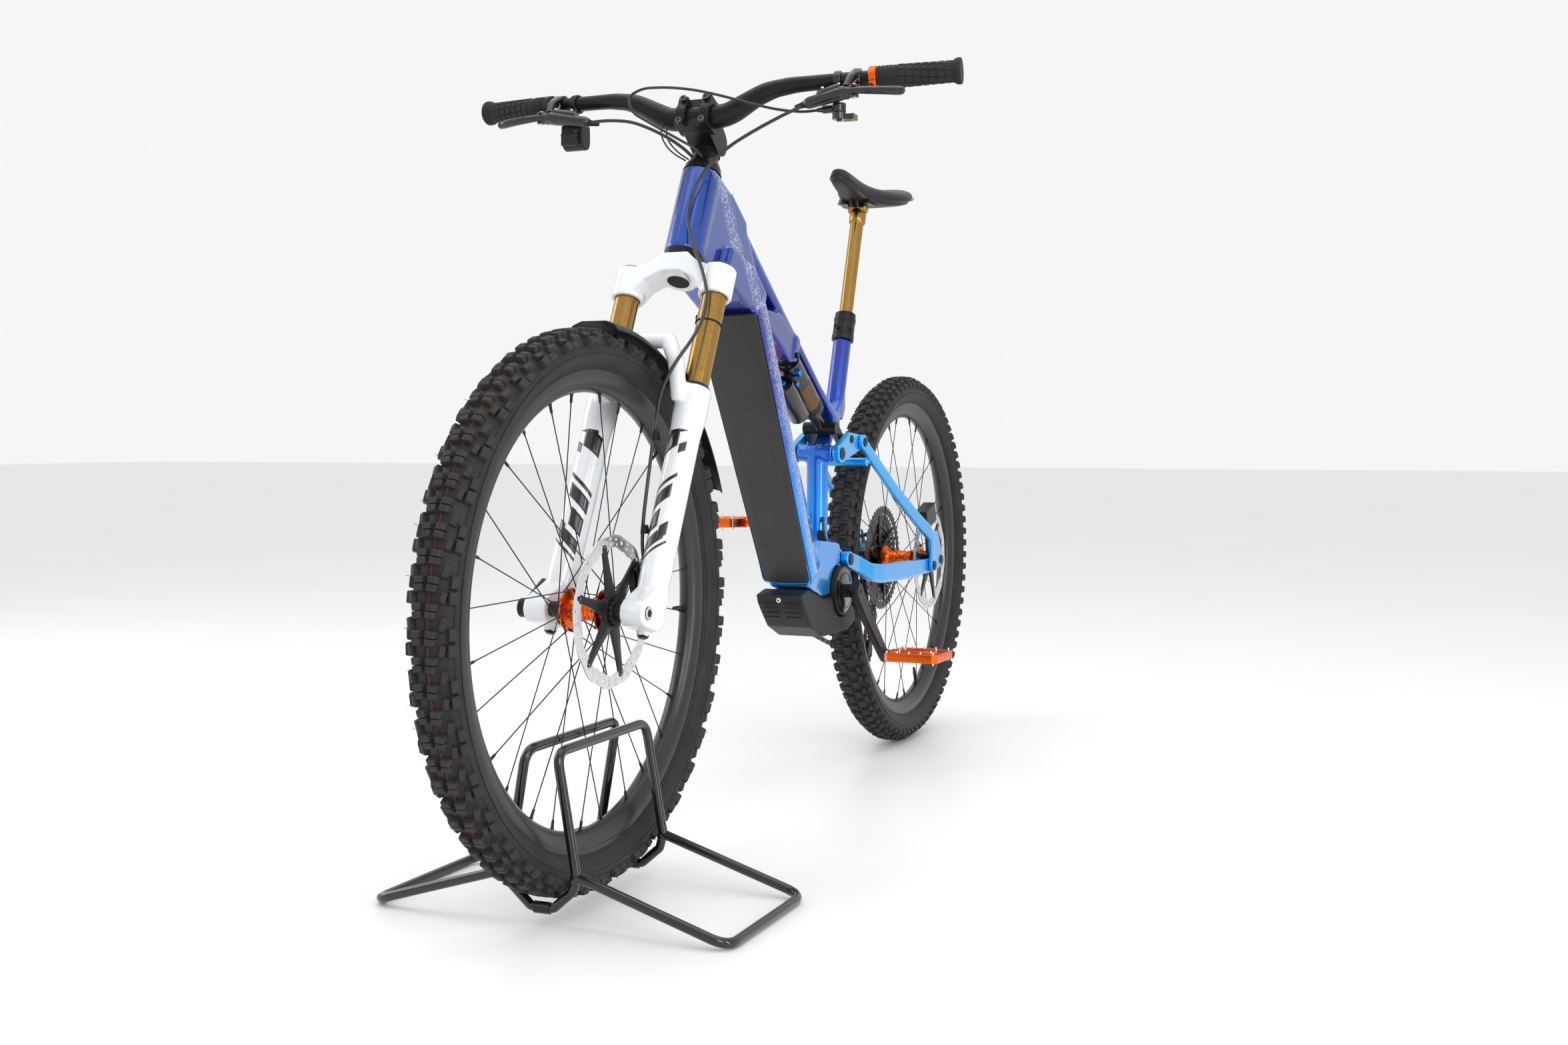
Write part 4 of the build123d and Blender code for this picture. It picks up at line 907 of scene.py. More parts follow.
# ==================================================================== cockpit
BA, BO = 781.2, 46.4
BX, BZ = FX + BA * UX + BO * OX, FZ + BA * UZ + BO * OZ
half = [(BX, 0, BZ, 17.5), (BX, 34, BZ, 17.4), (BX - 1, 56, BZ + 5, 16.8), (BX - 4, 100, BZ + 27, 14.2), (BX - 7, 135, BZ + 36, 12.4), (BX - 13, 190, BZ + 39.5, 11.1), (BX - 41.5, 391, BZ + 45, 11.1)]
path = [(x, -y, z, r) for x, y, z, r in half[::-1]] + half[1:]
pp = smooth_pts([P(x, y, z) for x, y, z, r in path], 8)
rr = []
for k in range(len(path) - 1):
    for j in range(8):
        t = j / 8
        t = t * t * (3 - 2 * t)
        rr.append(path[k][3] * (1 - t) + path[k + 1][3] * t)
rr.append(path[-1][3])
b = Batch().tube(pp, rr, seg=40)
o = b.done("handlebar_tube", "black", "steering", angle=40)
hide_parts("handlebar")
clone("stem", "black", bevel=2.0, angle=25)
clone("stem_faceplate", "black", bevel=2.2, angle=25)
b, bh = Batch(), Batch()
for y in (-18.5, 18.5):
    for a in (BA - 19.5, BA + 19.5):
        b.cyl(S(BO + 20, y, a), S(BO + 26.2, y, a), 5.4, seg=28, ch=0.9)
        # dark hex in each bolt head: painted socket shade
        bh.cyl(S(BO + 25.8, y, a), S(BO + 26.6, y, a), 2.6, seg=6, ch=0.1)
for a in (755, 772):
    b.cyl(S(-21, -8, a), S(-21, 8, a), 4.6, seg=24, ch=0.6)
b.cyl(S(0, 0, 791.5), S(0, 0, 795), 15, seg=40, ch=1.2)
b.done("stem_bolts", "dsteel", "steering")
bh.done("stem_bolt_socket_shade", "dark", "steering")
clone("headset", "black", bevel=0.8)
b = Batch()
for a, r in ((747.2, 20.8), (735.6, 19.6)):
    pts = [S(r * math.cos(2 * math.pi * k / 48), r * math.sin(2 * math.pi * k / 48), a) for k in range(48)]
    b.tube(pts, 0.5, seg=6, closed=True)
b.done("spacer_joints", "dark", "steering")

# grips: a sleeve, a field of raised blocks on the outer two thirds, end flange
P190 = Vector((BX - 13, 190, BZ + 39.5))
P391 = Vector((BX - 41.5, 391, BZ + 45))


def bar_at(y):
    t = (y - P190.y) / (P391.y - P190.y)
    return P190 + (P391 - P190) * t


gax = (P391 - P190).normalized()
gu = Vector((0, 0, 1))
gu = (gu - gax * gu.dot(gax)).normalized()
gw = gax.cross(gu)
b, bl = Batch(), Batch()
for s in (1, -1):
    def G(y, r, an):
        q = bar_at(y) + gu * (r * math.cos(an)) + gw * (r * math.sin(an))
        return P(q.x, s * q.y, q.z)
    prof = [(268, 12.6), (272, 14.8), (274, 15.6), (292, 16.2), (312, 15.7), (352, 14.6), (382, 15.2), (386, 17.6), (388, 18.6), (393.3, 18.9), (394.3, 17.8), (394.3, 8)]
    n = 56
    v, f = [], []
    for y, r in prof:
        for k in range(n):
            v.append(G(y, r, 2 * math.pi * k / n))
    for j in range(len(prof) - 1):
        for k in range(n):
            f.append((j * n + k, j * n + (k + 1) % n, (j + 1) * n + (k + 1) % n, (j + 1) * n + k))
    f.append(tuple(range(n)))
    f.append(tuple((len(prof) - 1) * n + k for k in range(n)))
    b.add(v, f)
    for i in range(7):
        for k in range(10):
            ya, yb = 305 + i * 11.2, 305 + i * 11.2 + 9.4
            aa = 2 * math.pi * (k + 0.12 * i) / 10
            ab = aa + 2 * math.pi / 10 * 0.82
            pts, fc = [], []
            for h in (0.0, 1.0, 1.35):
                e = 0 if h < 1.2 else 0.7
                for (y_, a_) in ((ya + e, aa + e * 0.05), (yb - e, aa + e * 0.05), (yb - e, (aa + ab) / 2), (yb - e, ab - e * 0.05), (ya + e, ab - e * 0.05), (ya + e, (aa + ab) / 2)):
                    rb = 15.9 - (y_ - 305) / 77 * 1.2
                    pts.append(G(y_, rb - 0.6 + h * 1.15, a_))
            fc = [(5, 4, 3, 2, 1, 0), (12, 13, 14, 15, 16, 17)]
            for L in (0, 6):
                fc += [(L + q, L + (q + 1) % 6, L + 6 + (q + 1) % 6, L + 6 + q) for q in range(6)]
            bl.add(pts, fc)
    for i in range(4):   # fine rings next to the lock ring
        y = 277 + i * 5.5
        pts = [G(y, 16.0, 2 * math.pi * k / 40) for k in range(40)]
        bl.tube(pts, 0.8, seg=6, closed=True)
o = b.done("grip_sleeves", "rubber", "steering", angle=40)
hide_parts("grips")
bl.done("grip_blocks", "rubber", "steering", angle=20)
b, c, b_r = Batch(), Batch(), Batch()
for s in (1, -1):
    q0, q1 = bar_at(262.5), bar_at(273.5)
    (b if s > 0 else b_r).cyl(P(q0.x, s * q0.y, q0.z), P(q1.x, s * q1.y, q1.z), 17, seg=56, ch=1.0)
    q = bar_at(268)
    c.cyl(P(q.x + 12, s * q.y, q.z - 14), P(q.x + 14, s * q.y, q.z - 18), 3.6, seg=20, ch=0.5)
o = b.done("lock_ring_left", "orange", "steering", slot="orange")
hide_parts("grip_collars")
b_r.done("lock_ring_right", "black", "steering")
c.done("lock_screws", "dsteel", "steering")

# brake masters and levers
MCP = Vector((986.0, 256.0, 723.0))
mc = clone("brake_masters", "gloss", remesh=0.8, smooth=5, factor=0.5)
b, hs, bt = Batch(), Batch(), Batch()
for s in (1, -1):
    def L(x, y, z):
        return P(x, s * y, z)
    # cylinder body over the CAD bar, with its reservoir and hose boot
    b.cyl(L(977, 178, 712.5), L(985, 246, 723.5), 9, seg=36, prof=[(0, 6.0), (0.04, 7.5), (0.10, 8.6), (0.5, 9.2), (0.8, 10.2), (0.95, 9.6), (1, 7.5)])
    b.cyl(L(979.5, 198, 724), L(984, 236, 730.5), 6.5, seg=28, prof=[(0, 4.2), (0.06, 5.8), (0.9, 6.6), (1, 5.2)])
    b.tube(smooth_pts([L(984, 243, 730), L(972, 246, 747), L(954, 246, 757.5)], 6), [5.6] * 13, seg=16)
    q = bar_at(245.5)
    for yy in (239.2, 251.6):
        pass
    b.cyl(L(q.x + 14.6, 245.5, q.z + 8), L(q.x + 17.5, 245.5, q.z + 2), 4.6, seg=20, ch=0.6)
    hs.cyl(L(978.5, 185, 713.5), L(975.2, 162, 709.4), 4, seg=20, prof=[(0, 6.4), (0.2, 5.6), (0.55, 4.4), (1, 3.2)])
    bt.cyl(L(983.6, 232, 733.5), L(983.2, 232, 736.5), 2.6, seg=16, ch=0.3)
    bt.cyl(L(981.0, 206, 731.5), L(980.8, 206, 734.0), 2.2, seg=16, ch=0.3)
b.done("master_bodies", "gloss", "steering", angle=40)
hs.done("hose_boots", "rubber", "steering")
bt.done("master_screws", "steel", "steering")
for s, tag in ((1, "left"), (-1, "right")):
    def L(x, y, z):
        return P(x, s * y, z)
    body = tag + "_brake_lever"
    pts = [(988.5, 252, 723), (991.5, 264, 722.5), (993.5, 278, 721), (993.5, 296, 719.5), (991, 314, 718.3), (988, 325, 717.8), (989.5, 331.5, 717.6)]
    sp = smooth_pts([L(*q) for q in pts], 6)
    wid = np.interp(np.linspace(0, 1, len(sp)), [0, 0.15, 0.4, 0.75, 0.93, 1], [5.2, 4.6, 5.0, 5.6, 5.0, 3.2])
    bb = Batch().tube(sp, list(wid), seg=16, flat=1.15, up=(0, 0, 1))
    # round boss at the lever pivot
    bb.cyl(L(MCP.x, MCP.y, MCP.z - 5), L(MCP.x, MCP.y, MCP.z + 5), 6.6, seg=28, ch=0.8)
    o = bb.done("lever_blade_" + tag, "gloss", body, angle=50)
    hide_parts("brake_lever_" + tag)
    b2 = Batch()
    b2.cyl(L(MCP.x, MCP.y, MCP.z - 10.2), L(MCP.x, MCP.y, MCP.z + 10.2), 3.4, seg=24, ch=0.6)
    b2.done("lever_pin_" + tag, "steel", "steering")
    # dark discs on the blade: painted shade of its holes
    b3 = Batch()
    for k in range(3):
        p = L(992.8, 270 + k * 7, 721.4 - k * 0.6)
        b3.cyl(p + Vector((0, 0, 0.0035)), p + Vector((0, 0, 0.0062)), 1.6, seg=16, ch=0.2)
    b3.done("lever_hole_shade_" + tag, "dark", body)

# shifter pod, paddle and dropper remote
clone("shifter_pod", "plastic", remesh=0.9, smooth=8, factor=0.6)
clone("shift_lever", "plastic", bevel=1.6)
clone("dropper_remote", "gloss", remesh=0.8, smooth=5)
clone("dropper_lever", "gloss", bevel=2.2)
b = Batch()
for x, y, z in ((968.4, -206, 700), (967.6, -206, 688)):
    b.cyl(P(x, y, z), P(x + 2.2, y, z + 0.1), 5.0, seg=28, ch=0.8)
b.cyl(P(966, -224, 694), P(970, -224, 694.2), 3, seg=6, ch=0.4)
b.done("shift_buttons", "gloss", "steering")
b = Batch()
b.cyl(P(966, 226, 686.5), P(966, 226, 712.5), 4.2, seg=6, ch=0.6)
b.cyl(P(962.5, 208, 706), P(961, 190, 706), 4, seg=20, prof=[(0, 5.0), (0.2, 5.2), (0.6, 4.0), (1, 2.8)])
b.done("remote_barrel", "dsteel", "steering")
clone("front_brake_hose", "hose", bevel=0, angle=60, bend=("steering", "fork_slider", P(1120, 44, 500), P(1176, 44, 262)))
clone("rear_brake_hose", "hose", bevel=0, angle=60, bend=("frame", "steering", P(962, 0, 650), P(990, 0, 735)))
clone("control_cables", "hose", bevel=0, angle=60, bend=("frame", "steering", P(960, 0, 650), P(985, 0, 690)))

# ====================================================================== frame
ft = clone("front_triangle", "frame", remesh=2.2, smooth=14, factor=0.6)
DT0, DTL = (610.0, -10.0), 503.1
tx, tz = 254.5 / DTL, 434.0 / DTL
nx, nz = -tz, tx


def dt(s, y, d):
    """Down tube frame: s up it, y left, d away from the wheel."""
    return P(DT0[0] + tx * s + nx * d, y, DT0[1] + tz * s + nz * d)


# battery cover: crowned plate with a framed six-sided field, a lock and a fine blue line
v, f = [], []
NS, NY = 150, 56
for k in range(NS + 1):
    s = 2 + (DTL - 2) * k / NS
    hw = 42 + 10.2 * k / NS
    for j in range(NY + 1):
        u = -1 + 2 * j / NY
        crown = 3.4 * (1 - abs(u) ** 3.2) - 1.0
        hexa = 0.0
        ss = (s - 60) / 270
        if 0 < ss < 1:
            edge = min(ss * 270, (1 - ss) * 270)
            lim = 0.70 * hw - max(0, 24 - edge) * 0.9
            q = lim - abs(u) * hw
            q = min(q, edge)
            hexa = 1.7 * max(0.0, min(1.0, q / 1.6)) - 0.9 * max(0.0, 1 - abs(q + 1.2) / 1.2)
        v.append(dt(s, u * hw, -(crown - hexa)))
base = len(v)
for k in range(NS + 1):
    s = 2 + (DTL - 2) * k / NS
    hw = 42 + 10.2 * k / NS
    for j in range(NY + 1):
        u = -1 + 2 * j / NY
        v.append(dt(s, u * hw, 4.6))
W = NY + 1
for k in range(NS):
    for j in range(NY):
        a = k * W + j
        f.append((a, a + 1, a + W + 1, a + W))
        f.append((base + a, base + a + W, base + a + W + 1, base + a + 1))
for k in range(NS):
    for j in (0, NY):
        a = k * W + j
        f.append((a, a + W, base + a + W, base + a))
for j in range(NY):
    for k in (0, NS):
        a = k * W + j
        f.append((a, base + a, base + a + 1, a + 1))
o = new_piece("battery_cover_look", v, f, "cover", "frame", angle=28, bevel=0.0012, slot="cover_plastic")
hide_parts("battery_cover")
b = Batch()
b.cyl(dt(488, -44, 0.5), dt(488, -44, -3.4), 6.6, seg=36, ch=0.8)
b.done("lock_body", "black", "frame")
# dark disc in the lock: painted shade of the keyhole
b = Batch()
b.cyl(dt(488, -44, -3.2), dt(488, -44, -3.7), 3.4, seg=20, ch=0.1)
b.done("lock_core_shade", "dark", "frame")
b = Batch()
pts = [dt(40, -43.8, 1.0), dt(6, -43.2, 0.6), dt(1.2, -38, -0.6), dt(0.6, 0, -2.6), dt(1.2, 38, -0.6), dt(6, 43.2, 0.6), dt(40, 43.8, 1.0)]
b.tube(fillet(pts, 8), 0.8, seg=8)
b.done("cover_edge_line", "rear", "frame")
# the dark joint between cover and paint
b = Batch()
for s_ in (-1, 1):
    b.tube([dt(4, s_ * 43.6, 3.4), dt(250, s_ * 48.3, 3.4), dt(500, s_ * 53.0, 3.4)], 0.9, seg=6)
b.tube([dt(503.6, -51, 2.6), dt(503.8, 0, -0.2), dt(503.6, 51, 2.6)], 0.9, seg=6)
b.done("cover_joint", "dark", "frame")
clone("battery_pack", "plastic", bevel=2.0)

# motor cover discs and skid plate
BB = (452.0, -32.5)
clone("motor_unit", "plastic", bevel=1.6)
b = Batch()
for s in (1, -1):
    v, f = spin_y([(0.1, s * 45.0), (12.0, s * 45.0), (12.4, s * 47.2), (30, s * 47.0), (31.2, s * 46.4), (33, s * 45.6), (40.5, s * 45.2), (43.2, s * 43.4), (43.6, s * 40), (43.6, s * 33)], BB[0], BB[1], 96, closed=False)
    b.add(v, f)
o = b.done("motor_discs", "gloss", "frame", angle=30)
# dark rings on the discs: painted shade of their grooves
b = Batch()
for s in (1, -1):
    for r, y in ((31.6, 46.4), (43.9, 37.5)):
        pts = [P(BB[0] + r * math.cos(2 * math.pi * k / 64), s * y, BB[1] + r * math.sin(2 * math.pi * k / 64)) for k in range(64)]
        b.tube(pts, 0.7, seg=6, closed=True)
b.done("motor_groove_shade", "dark", "frame")
sk = clone("skid_plate", "plastic", remesh=1.8, smooth=16, factor=0.6)
b, hs = Batch(), Batch()
# dark slots on the skid plate: painted shade inside the vents
for row in range(3):
    for s in (-1, 1):
        t = row / 2
        x, z = 645 - 20 * t, -50 - 17 * t
        y0, y1 = s * (6 + t * 0), s * 33
        ya, yb = sorted((y0, y1))
        hs.tube([P(x + 0.6, ya, z), P(x + 0.6, yb, z - abs(0))], 1.9, seg=10, flat=0.8)
hs.done("skid_vent_shade", "dark", "frame")
b.cyl(P(643, 0, -36.5), P(647.4, 0, -36.8), 4.2, seg=28, ch=0.6)
b.done("skid_screw", "steel", "frame")
# dark hex in the screw head: painted socket shade
b = Batch()
b.cyl(P(646.9, 0, -36.8), P(647.8, 0, -36.85), 1.9, seg=6, ch=0.1)
b.done("skid_screw_socket_shade", "dark", "frame")
clone("seat_collar", "black", bevel=1.2)
fp = clone("frame_pivots", "black", bevel=0.8)
b = Batch()
# a charge port flap and a short cable loop low on the seat tube
m4 = basis(P, 490, 0, 50)
b.box(m4, (-3, 8, -6), (6, 24, 26), 0.9)
b.done("port_flap", "rubber", "frame", bevel=0.002)
b = Batch()
b.tube(smooth_pts([P(486, 16, 96), P(494, 20, 88), P(498, 24, 70), P(492, 26, 56), P(482, 27, 50)], 8), 2.2, seg=12)
b.cyl(P(484, 15, 97), P(491, 18, 92), 4.4, 3.4, seg=20)
b.done("port_cable", "hose", "frame")

# ================================================================== rear end
clone("chainstay", "rear", remesh=1.5, smooth=10, factor=0.6)
clone("seatstay", "rear", remesh=1.5, smooth=10, factor=0.6)
clone("rocker", "rear", remesh=1.3, smooth=8, factor=0.6)


def bolt(b, hx, x, z, y, s, r=8.5, h=2.2):
    b.cyl(P(x, s * (y - 1.5), z), P(x, s * (y + h), z), r, seg=36, ch=0.9)
    # dark hex in the bolt head: painted socket shade
    hx.cyl(P(x, s * (y + h - 0.2), z), P(x, s * (y + h + 0.3), z), r * 0.42, seg=6, ch=0.1)


for body, lst in (("swingarm", [(425, 22, 47.0, 11)]), ("rocker_link", [(477, 212, 49.0, 11), (430, 238, 49.0, 7.5)]), ("stay", [(383, 233, 57.5, 8.5), (45, -10, 84.4, 9.5), (0, 0, 84.2, 9.5)])):
    b, hx = Batch(), Batch()
    for x, z, y, r in lst:
        for s in (-1, 1):
            bolt(b, hx, x, z, y, s, r, 2.0)
    b.done("pivot_caps_" + body, "black", body)
    hx.done("pivot_socket_shade_" + body, "dark", body)

# shock: can with reservoir, knobs, sleeve and yoke
SHT = (628.0, 376.0)
ax_, az_ = 430 - 628, 238 - 376
nn = math.hypot(ax_, az_)
ax_, az_ = ax_ / nn, az_ / nn


def sh(s, d=0.0, y=0.0):
    return P(SHT[0] + ax_ * s - az_ * d, y, SHT[1] + az_ * s + ax_ * d)


sb = clone("shock_body", "gloss", bevel=1.2)
b = Batch()
b.cyl(sh(12), sh(74), 20, seg=56, prof=[(0, 14), (0.05, 17), (0.2, 18.5), (0.5, 19), (0.95, 22.6), (1, 22.6)])
b.cyl(sh(22, 43), sh(114, 43), 18.4, seg=48, prof=[(0, 12), (0.03, 15), (0.06, 18.0), (0.9, 18.4), (0.96, 17), (1, 11)])
b.done("shock_details", "gloss", "shock_can", angle=40)
b = Batch()
b.cyl(sh(76), sh(132), 22.5, seg=64, ch=1.0)
b.done("shock_sleeve", "bronze", "shock_can")
b = Batch()
for s0, s1, r in ((131, 138, 23.4), (139.5, 146, 22.9), (146, 149.5, 20.0)):
    b.cyl(sh(s0), sh(s1), r, seg=64, ch=0.9)
b.done("shock_rings", "black", "shock_can")
b = Batch()
b.cyl(sh(30, 14, 10), sh(30, 14, 24), 6.2, seg=20, ch=0.8)
b.cyl(sh(40, 30, 8), sh(40, 30, 20), 5.0, seg=20, ch=0.8)
b.cyl(sh(26, 43, 0), sh(18, 43, 0), 6.4, seg=24, ch=1.0)
b.done("shock_knobs", "blue", "shock_can")
ssf = clone("shock_shaft", "black", bevel=1.6)
b = Batch()
b.cyl(sh(146.5), sh(200), 10.9, seg=56, ch=0.2)
b.done("shock_rod_look", "bronze", "shock_rod")
pts = []
b = Batch()
ca = [sh(187, 0, 0)]
mm_a = (sh(188) - sh(187)).normalized()
mm_u = Vector((0, 1, 0))
mm_w = mm_a.cross(mm_u)
b.tube([sh(151) + (mm_u * math.cos(2 * math.pi * k / 32) + mm_w * math.sin(2 * math.pi * k / 32)) * 0.0115 for k in range(32)], 1.1, seg=6, closed=True)
b.done("shock_ring", "rubber", "shock_can")

# ================================================================= drivetrain
def cog(teeth, pr, rin, nholes, hr, hrad):
    out = []
    for k in range(teeth):
        a = 2 * math.pi * k / teeth
        st = 2 * math.pi / teeth
        for t, dr in ((-0.50, -3.3), (-0.36, -2.9), (-0.22, -0.6), (-0.10, 1.7), (0.10, 1.7), (0.22, -0.6), (0.36, -2.9)):
            out.append(polar(pr + dr, a + st * t))
    holes = [circ(0, 0, rin, 40)]
    for k in range(nholes):
        holes.append(circ(*polar(hr, 2 * math.pi * (k + 0.5) / nholes), hrad, 12))
    return out, holes


TE = [10, 12, 14, 16, 19, 22, 26, 29, 33, 38, 44, 52]
y = -71.2
first = None
for k, t in enumerate(TE):
    pr = 12.7 / (2 * math.sin(math.pi / t))
    rin = max(8, 14 if k < 3 else pr - (12 if k < 6 else 14.5))
    nh = 0 if k < 4 else t // 2
    out, holes = cog(t, pr, rin, nh, pr - 8.0, min(2.6, 1.4 + k * 0.14))
    o = ring_curve("cog_%02d" % (k + 1), out, holes, 0.75, "dsteel" if k > 2 else "steel", "cassette_body", 0, 0, y, 0.1)
    if first is None:
        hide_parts("cassette")
        first = o
    y += 2.62
b = Batch()
for k in range(6):
    a = 2 * math.pi * k / 6
    pts, fc = [], []
    prof = [(10, 7, -44, 5), (40, 5, -46, 3.5), (82, 4, -44.5, 1.6), (96, 3.2, -43.0, 1.0)]
    for r, hw, yc, hy in prof:
        er, et = Vector((math.cos(a + r * 0.004), 0, math.sin(a + r * 0.004))), Vector((-math.sin(a), 0, math.cos(a)))
        for sw, sy in ((-1, -1), (1, -1), (1, 1), (-1, 1)):
            q = er * r + et * hw * sw + Vector((0, yc + hy * sy, 0))
            pts.append(P(*q))
    for j in range(3):
        for q in range(4):
            fc.append((j * 4 + q, j * 4 + (q + 1) % 4, (j + 1) * 4 + (q + 1) % 4, (j + 1) * 4 + q))
    fc += [(3, 2, 1, 0), (12, 13, 14, 15)]
    b.add(pts, fc)
b.cyl(P(0, -73.8, 0), P(0, -40, 0), 14, seg=40, prof=[(0, 9), (0.03, 11), (0.3, 13.5), (0.6, 22), (1, 30)])
b.done("cassette_carrier", "black", "cassette_body", angle=30, bevel=0.0004)

out, holes = cog(34, 68.6, 28, 0, 0, 0)
for k in range(8):
    a = 2 * math.pi * (k + 0.5) / 8
    holes.append([polar(r, a + d) for r, d in ((36, -0.22), (52, -0.25), (57, -0.15), (57, 0.15), (52, 0.25), (36, 0.22), (33, 0))])
o = ring_curve("chainring_look", out, holes, 1.3, "dsteel", "crank", BB[0], BB[1], -52, 0.3)
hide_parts("chainring")
b = Batch()
for k in range(8):
    a = 2 * math.pi * k / 8
    b.cyl(P(BB[0] + 31 * math.cos(a), -54.6, BB[1] + 31 * math.sin(a)), P(BB[0] + 31 * math.cos(a), -49, BB[1] + 31 * math.sin(a)), 3.4, seg=16, ch=0.4)
b.cyl(P(BB[0], -56, BB[1]), P(BB[0], -46, BB[1]), 26, seg=48, ch=0.8)
b.done("chainring_bolts", "black", "crank")
clone("crankset", "black", bevel=2.4, angle=24)
b = Batch()
hx = Batch()
for s in (1, -1):
    b.cyl(P(BB[0], s * 66, BB[1]), P(BB[0], s * 76.5, BB[1]), 13.5, seg=40, ch=1.2)
    # dark hex in each cap: painted socket shade
    hx.cyl(P(BB[0], s * 76.4, BB[1]), P(BB[0], s * 76.9, BB[1]), 5, seg=8, ch=0.1)
b.done("crank_caps", "black", "crank")
hx.done("crank_socket_shade", "dark", "crank")
# pedals
for tag, s, px, pz in (("left", 1, BB[0] - 109, BB[1] - 123), ("right", -1, BB[0] + 109, BB[1] + 123)):
    body = tag + "_pedal"
    b, pn = Batch(), Batch()
    m4 = basis(P, px, 0, pz)

    def PY(y):
        return s * y
    outer = [(-50, 108), (-50, 190), (-44, 199), (44, 199), (50, 190), (50, 108), (42, 99), (-42, 99)]
    inner1 = [(-41, 113), (-41, 186), (-37, 190), (-17, 190), (-13, 186), (-13, 113), (-17, 109), (-37, 109)]
    inner2 = [(-x, y) for x, y in inner1[::-1]]
    cu_out = [(x, PY(y)) for x, y in outer]
    cu = bpy.data.curves.new("pedal_" + tag, "CURVE")
    cu.dimensions = "2D"
    cu.fill_mode = "BOTH"
    cu.extrude = 0.0068
    cu.bevel_depth = 0.0012
    cu.bevel_resolution = 2
    for pts in (outer, inner1, inner2):
        sp = cu.splines.new("POLY")
        sp.points.add(len(pts) - 1)
        for k, (x, yy) in enumerate(pts):
            sp.points[k].co = (x / 1000, PY(yy) / 1000, 0, 1)
        sp.use_cyclic_u = True
    tmp = bpy.data.objects.new("pc", cu)
    bpy.context.scene.collection.objects.link(tmp)
    bpy.context.view_layer.update()
    me = bpy.data.meshes.new_from_object(tmp.evaluated_get(bpy.context.evaluated_depsgraph_get()))
    bpy.data.objects.remove(tmp)
    for vt in me.vertices:
        c = vt.co * 1000
        dish = 1.0 - 0.22 * (1 - min(1, abs(c.x) / 48) ** 2)
        vt.co = P(px + c.x, c.y, pz + c.z * dish)
    me.materials.clear()
    me.materials.append(M["orange"])
    bm = bmesh.new()
    bm.from_mesh(me)
    bmesh.ops.remove_doubles(bm, verts=bm.verts, dist=1e-6)
    bm.to_mesh(me)
    bm.free()
    shade(me, 30)
    o = bpy.data.objects.new("pedal_deck_" + tag, me)
    bpy.context.scene.collection.objects.link(o)
    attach(o, body)
    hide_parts("pedal_" + tag)
    b.cyl(P(px, PY(88), pz), P(px, PY(186), pz), 9.2, seg=36, prof=[(0, 7), (0.02, 8), (0.1, 8), (0.12, 9.6), (0.5, 8.8), (0.96, 9.4), (1, 8)])
    b.done("pedal_barrel_" + tag, "orange", body)
    for dx in (-46, -15, 15, 46):
        for yy in ((104, 124, 146, 168, 192) if abs(dx) > 20 else (118, 178)):
            pn.cyl(P(px + dx, PY(yy), pz - 11.6), P(px + dx, PY(yy), pz + 11.6), 1.7, seg=12, prof=[(0, 1.3), (0.1, 1.9), (0.9, 1.9), (1, 1.3)])
    pn.done("pedal_pins_" + tag, "steel", body)

# derailleur, cage, guide wheels
clone("derailleur", "black", remesh=1.0, smooth=6, factor=0.6)
clone("derailleur_cage", "black", bevel=0.6)
b = Batch()
b.cyl(P(20, -80.5, -36), P(20, -76, -36), 8, seg=32, ch=1.0)
b.cyl(P(28, -79.5, -80), P(28, -76, -80), 9.5, seg=32, ch=1.2)
m4 = basis(P, 30, 0, -66)
b.box(m4, (-10, -84, -20), (12, -76, 22), 0.8)
b.done("derailleur_details", "gloss", "stay", bevel=0.0012)
for nm, body, (jx, jz), nt_ in (("jockey_upper", "upper_guide", (24, -118), 12), ("jockey_lower", "lower_guide", (58, -188), 12)):
    out, holes = cog(nt_, 24 - 1.6, 6, 5, 12.5, 3.2)
    o = ring_curve(nm + "_look", out, holes, 1.9, "plastic", body, jx, jz, -55.5, 0.3)
    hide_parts(nm)
    b = Batch()
    b.cyl(P(jx, -58.3, jz), P(jx, -52.7, jz), 7, seg=28, ch=0.5)
    b.done(nm + "_cap", "steel", body)

# chain: links round the ring and sprocket, along both runs
CHY = -54.0


def link_path(path, body, name):
    pts = [Vector((x, z)) for x, z in path]
    d = [0]
    for a, c in zip(pts, pts[1:]):
        d.append(d[-1] + (c - a).length)
    n = int(round(d[-1] / 12.7))
    pos = []
    for k in range(n + 1):
        s = d[-1] * k / n
        for j in range(len(d) - 1):
            if d[j] <= s <= d[j + 1] + 1e-9:
                t = (s - d[j]) / max(1e-9, d[j + 1] - d[j])
                pos.append(pts[j].lerp(pts[j + 1], t))
                break
    b = Batch()
    for k in range(len(pos) - 1):
        a, c = pos[k], pos[k + 1]
        outer = k % 2
        for s in (-1, 1):
            yo = CHY + s * (2.9 if outer else 1.75)
            u = (c - a).normalized()
            w = Vector((-u.y, u.x))
            pl = []
            for cc, sg in ((a, -1), (c, 1)):
                for an in (-80, -40, 0, 40, 80):
                    r = math.radians(an)
                    pl.append(cc + u * (sg * 4.0 * math.cos(r)) + w * (4.0 * math.sin(r) * sg))
                pl.append(cc.lerp(a if sg > 0 else c, 0.5) + w * (2.7 * sg))
            m = len(pl)
            v3 = [P(q.x, yo - 0.45, q.y) for q in pl] + [P(q.x, yo + 0.45, q.y) for q in pl]
            fc = [tuple(range(m))[::-1], tuple(range(m, 2 * m))] + [(i, (i + 1) % m, m + (i + 1) % m, m + i) for i in range(m)]
            b.add(v3, fc)
        b.cyl(P(a.x, CHY - 3.6, a.y), P(a.x, CHY + 3.6, a.y), 1.8, seg=8, ch=0.2)
        b.cyl(P(a.x, CHY - 1.3, a.y), P(a.x, CHY + 1.3, a.y), 3.8, seg=12, ch=0.2)
    return b.done(name, "dsteel", body, angle=30)


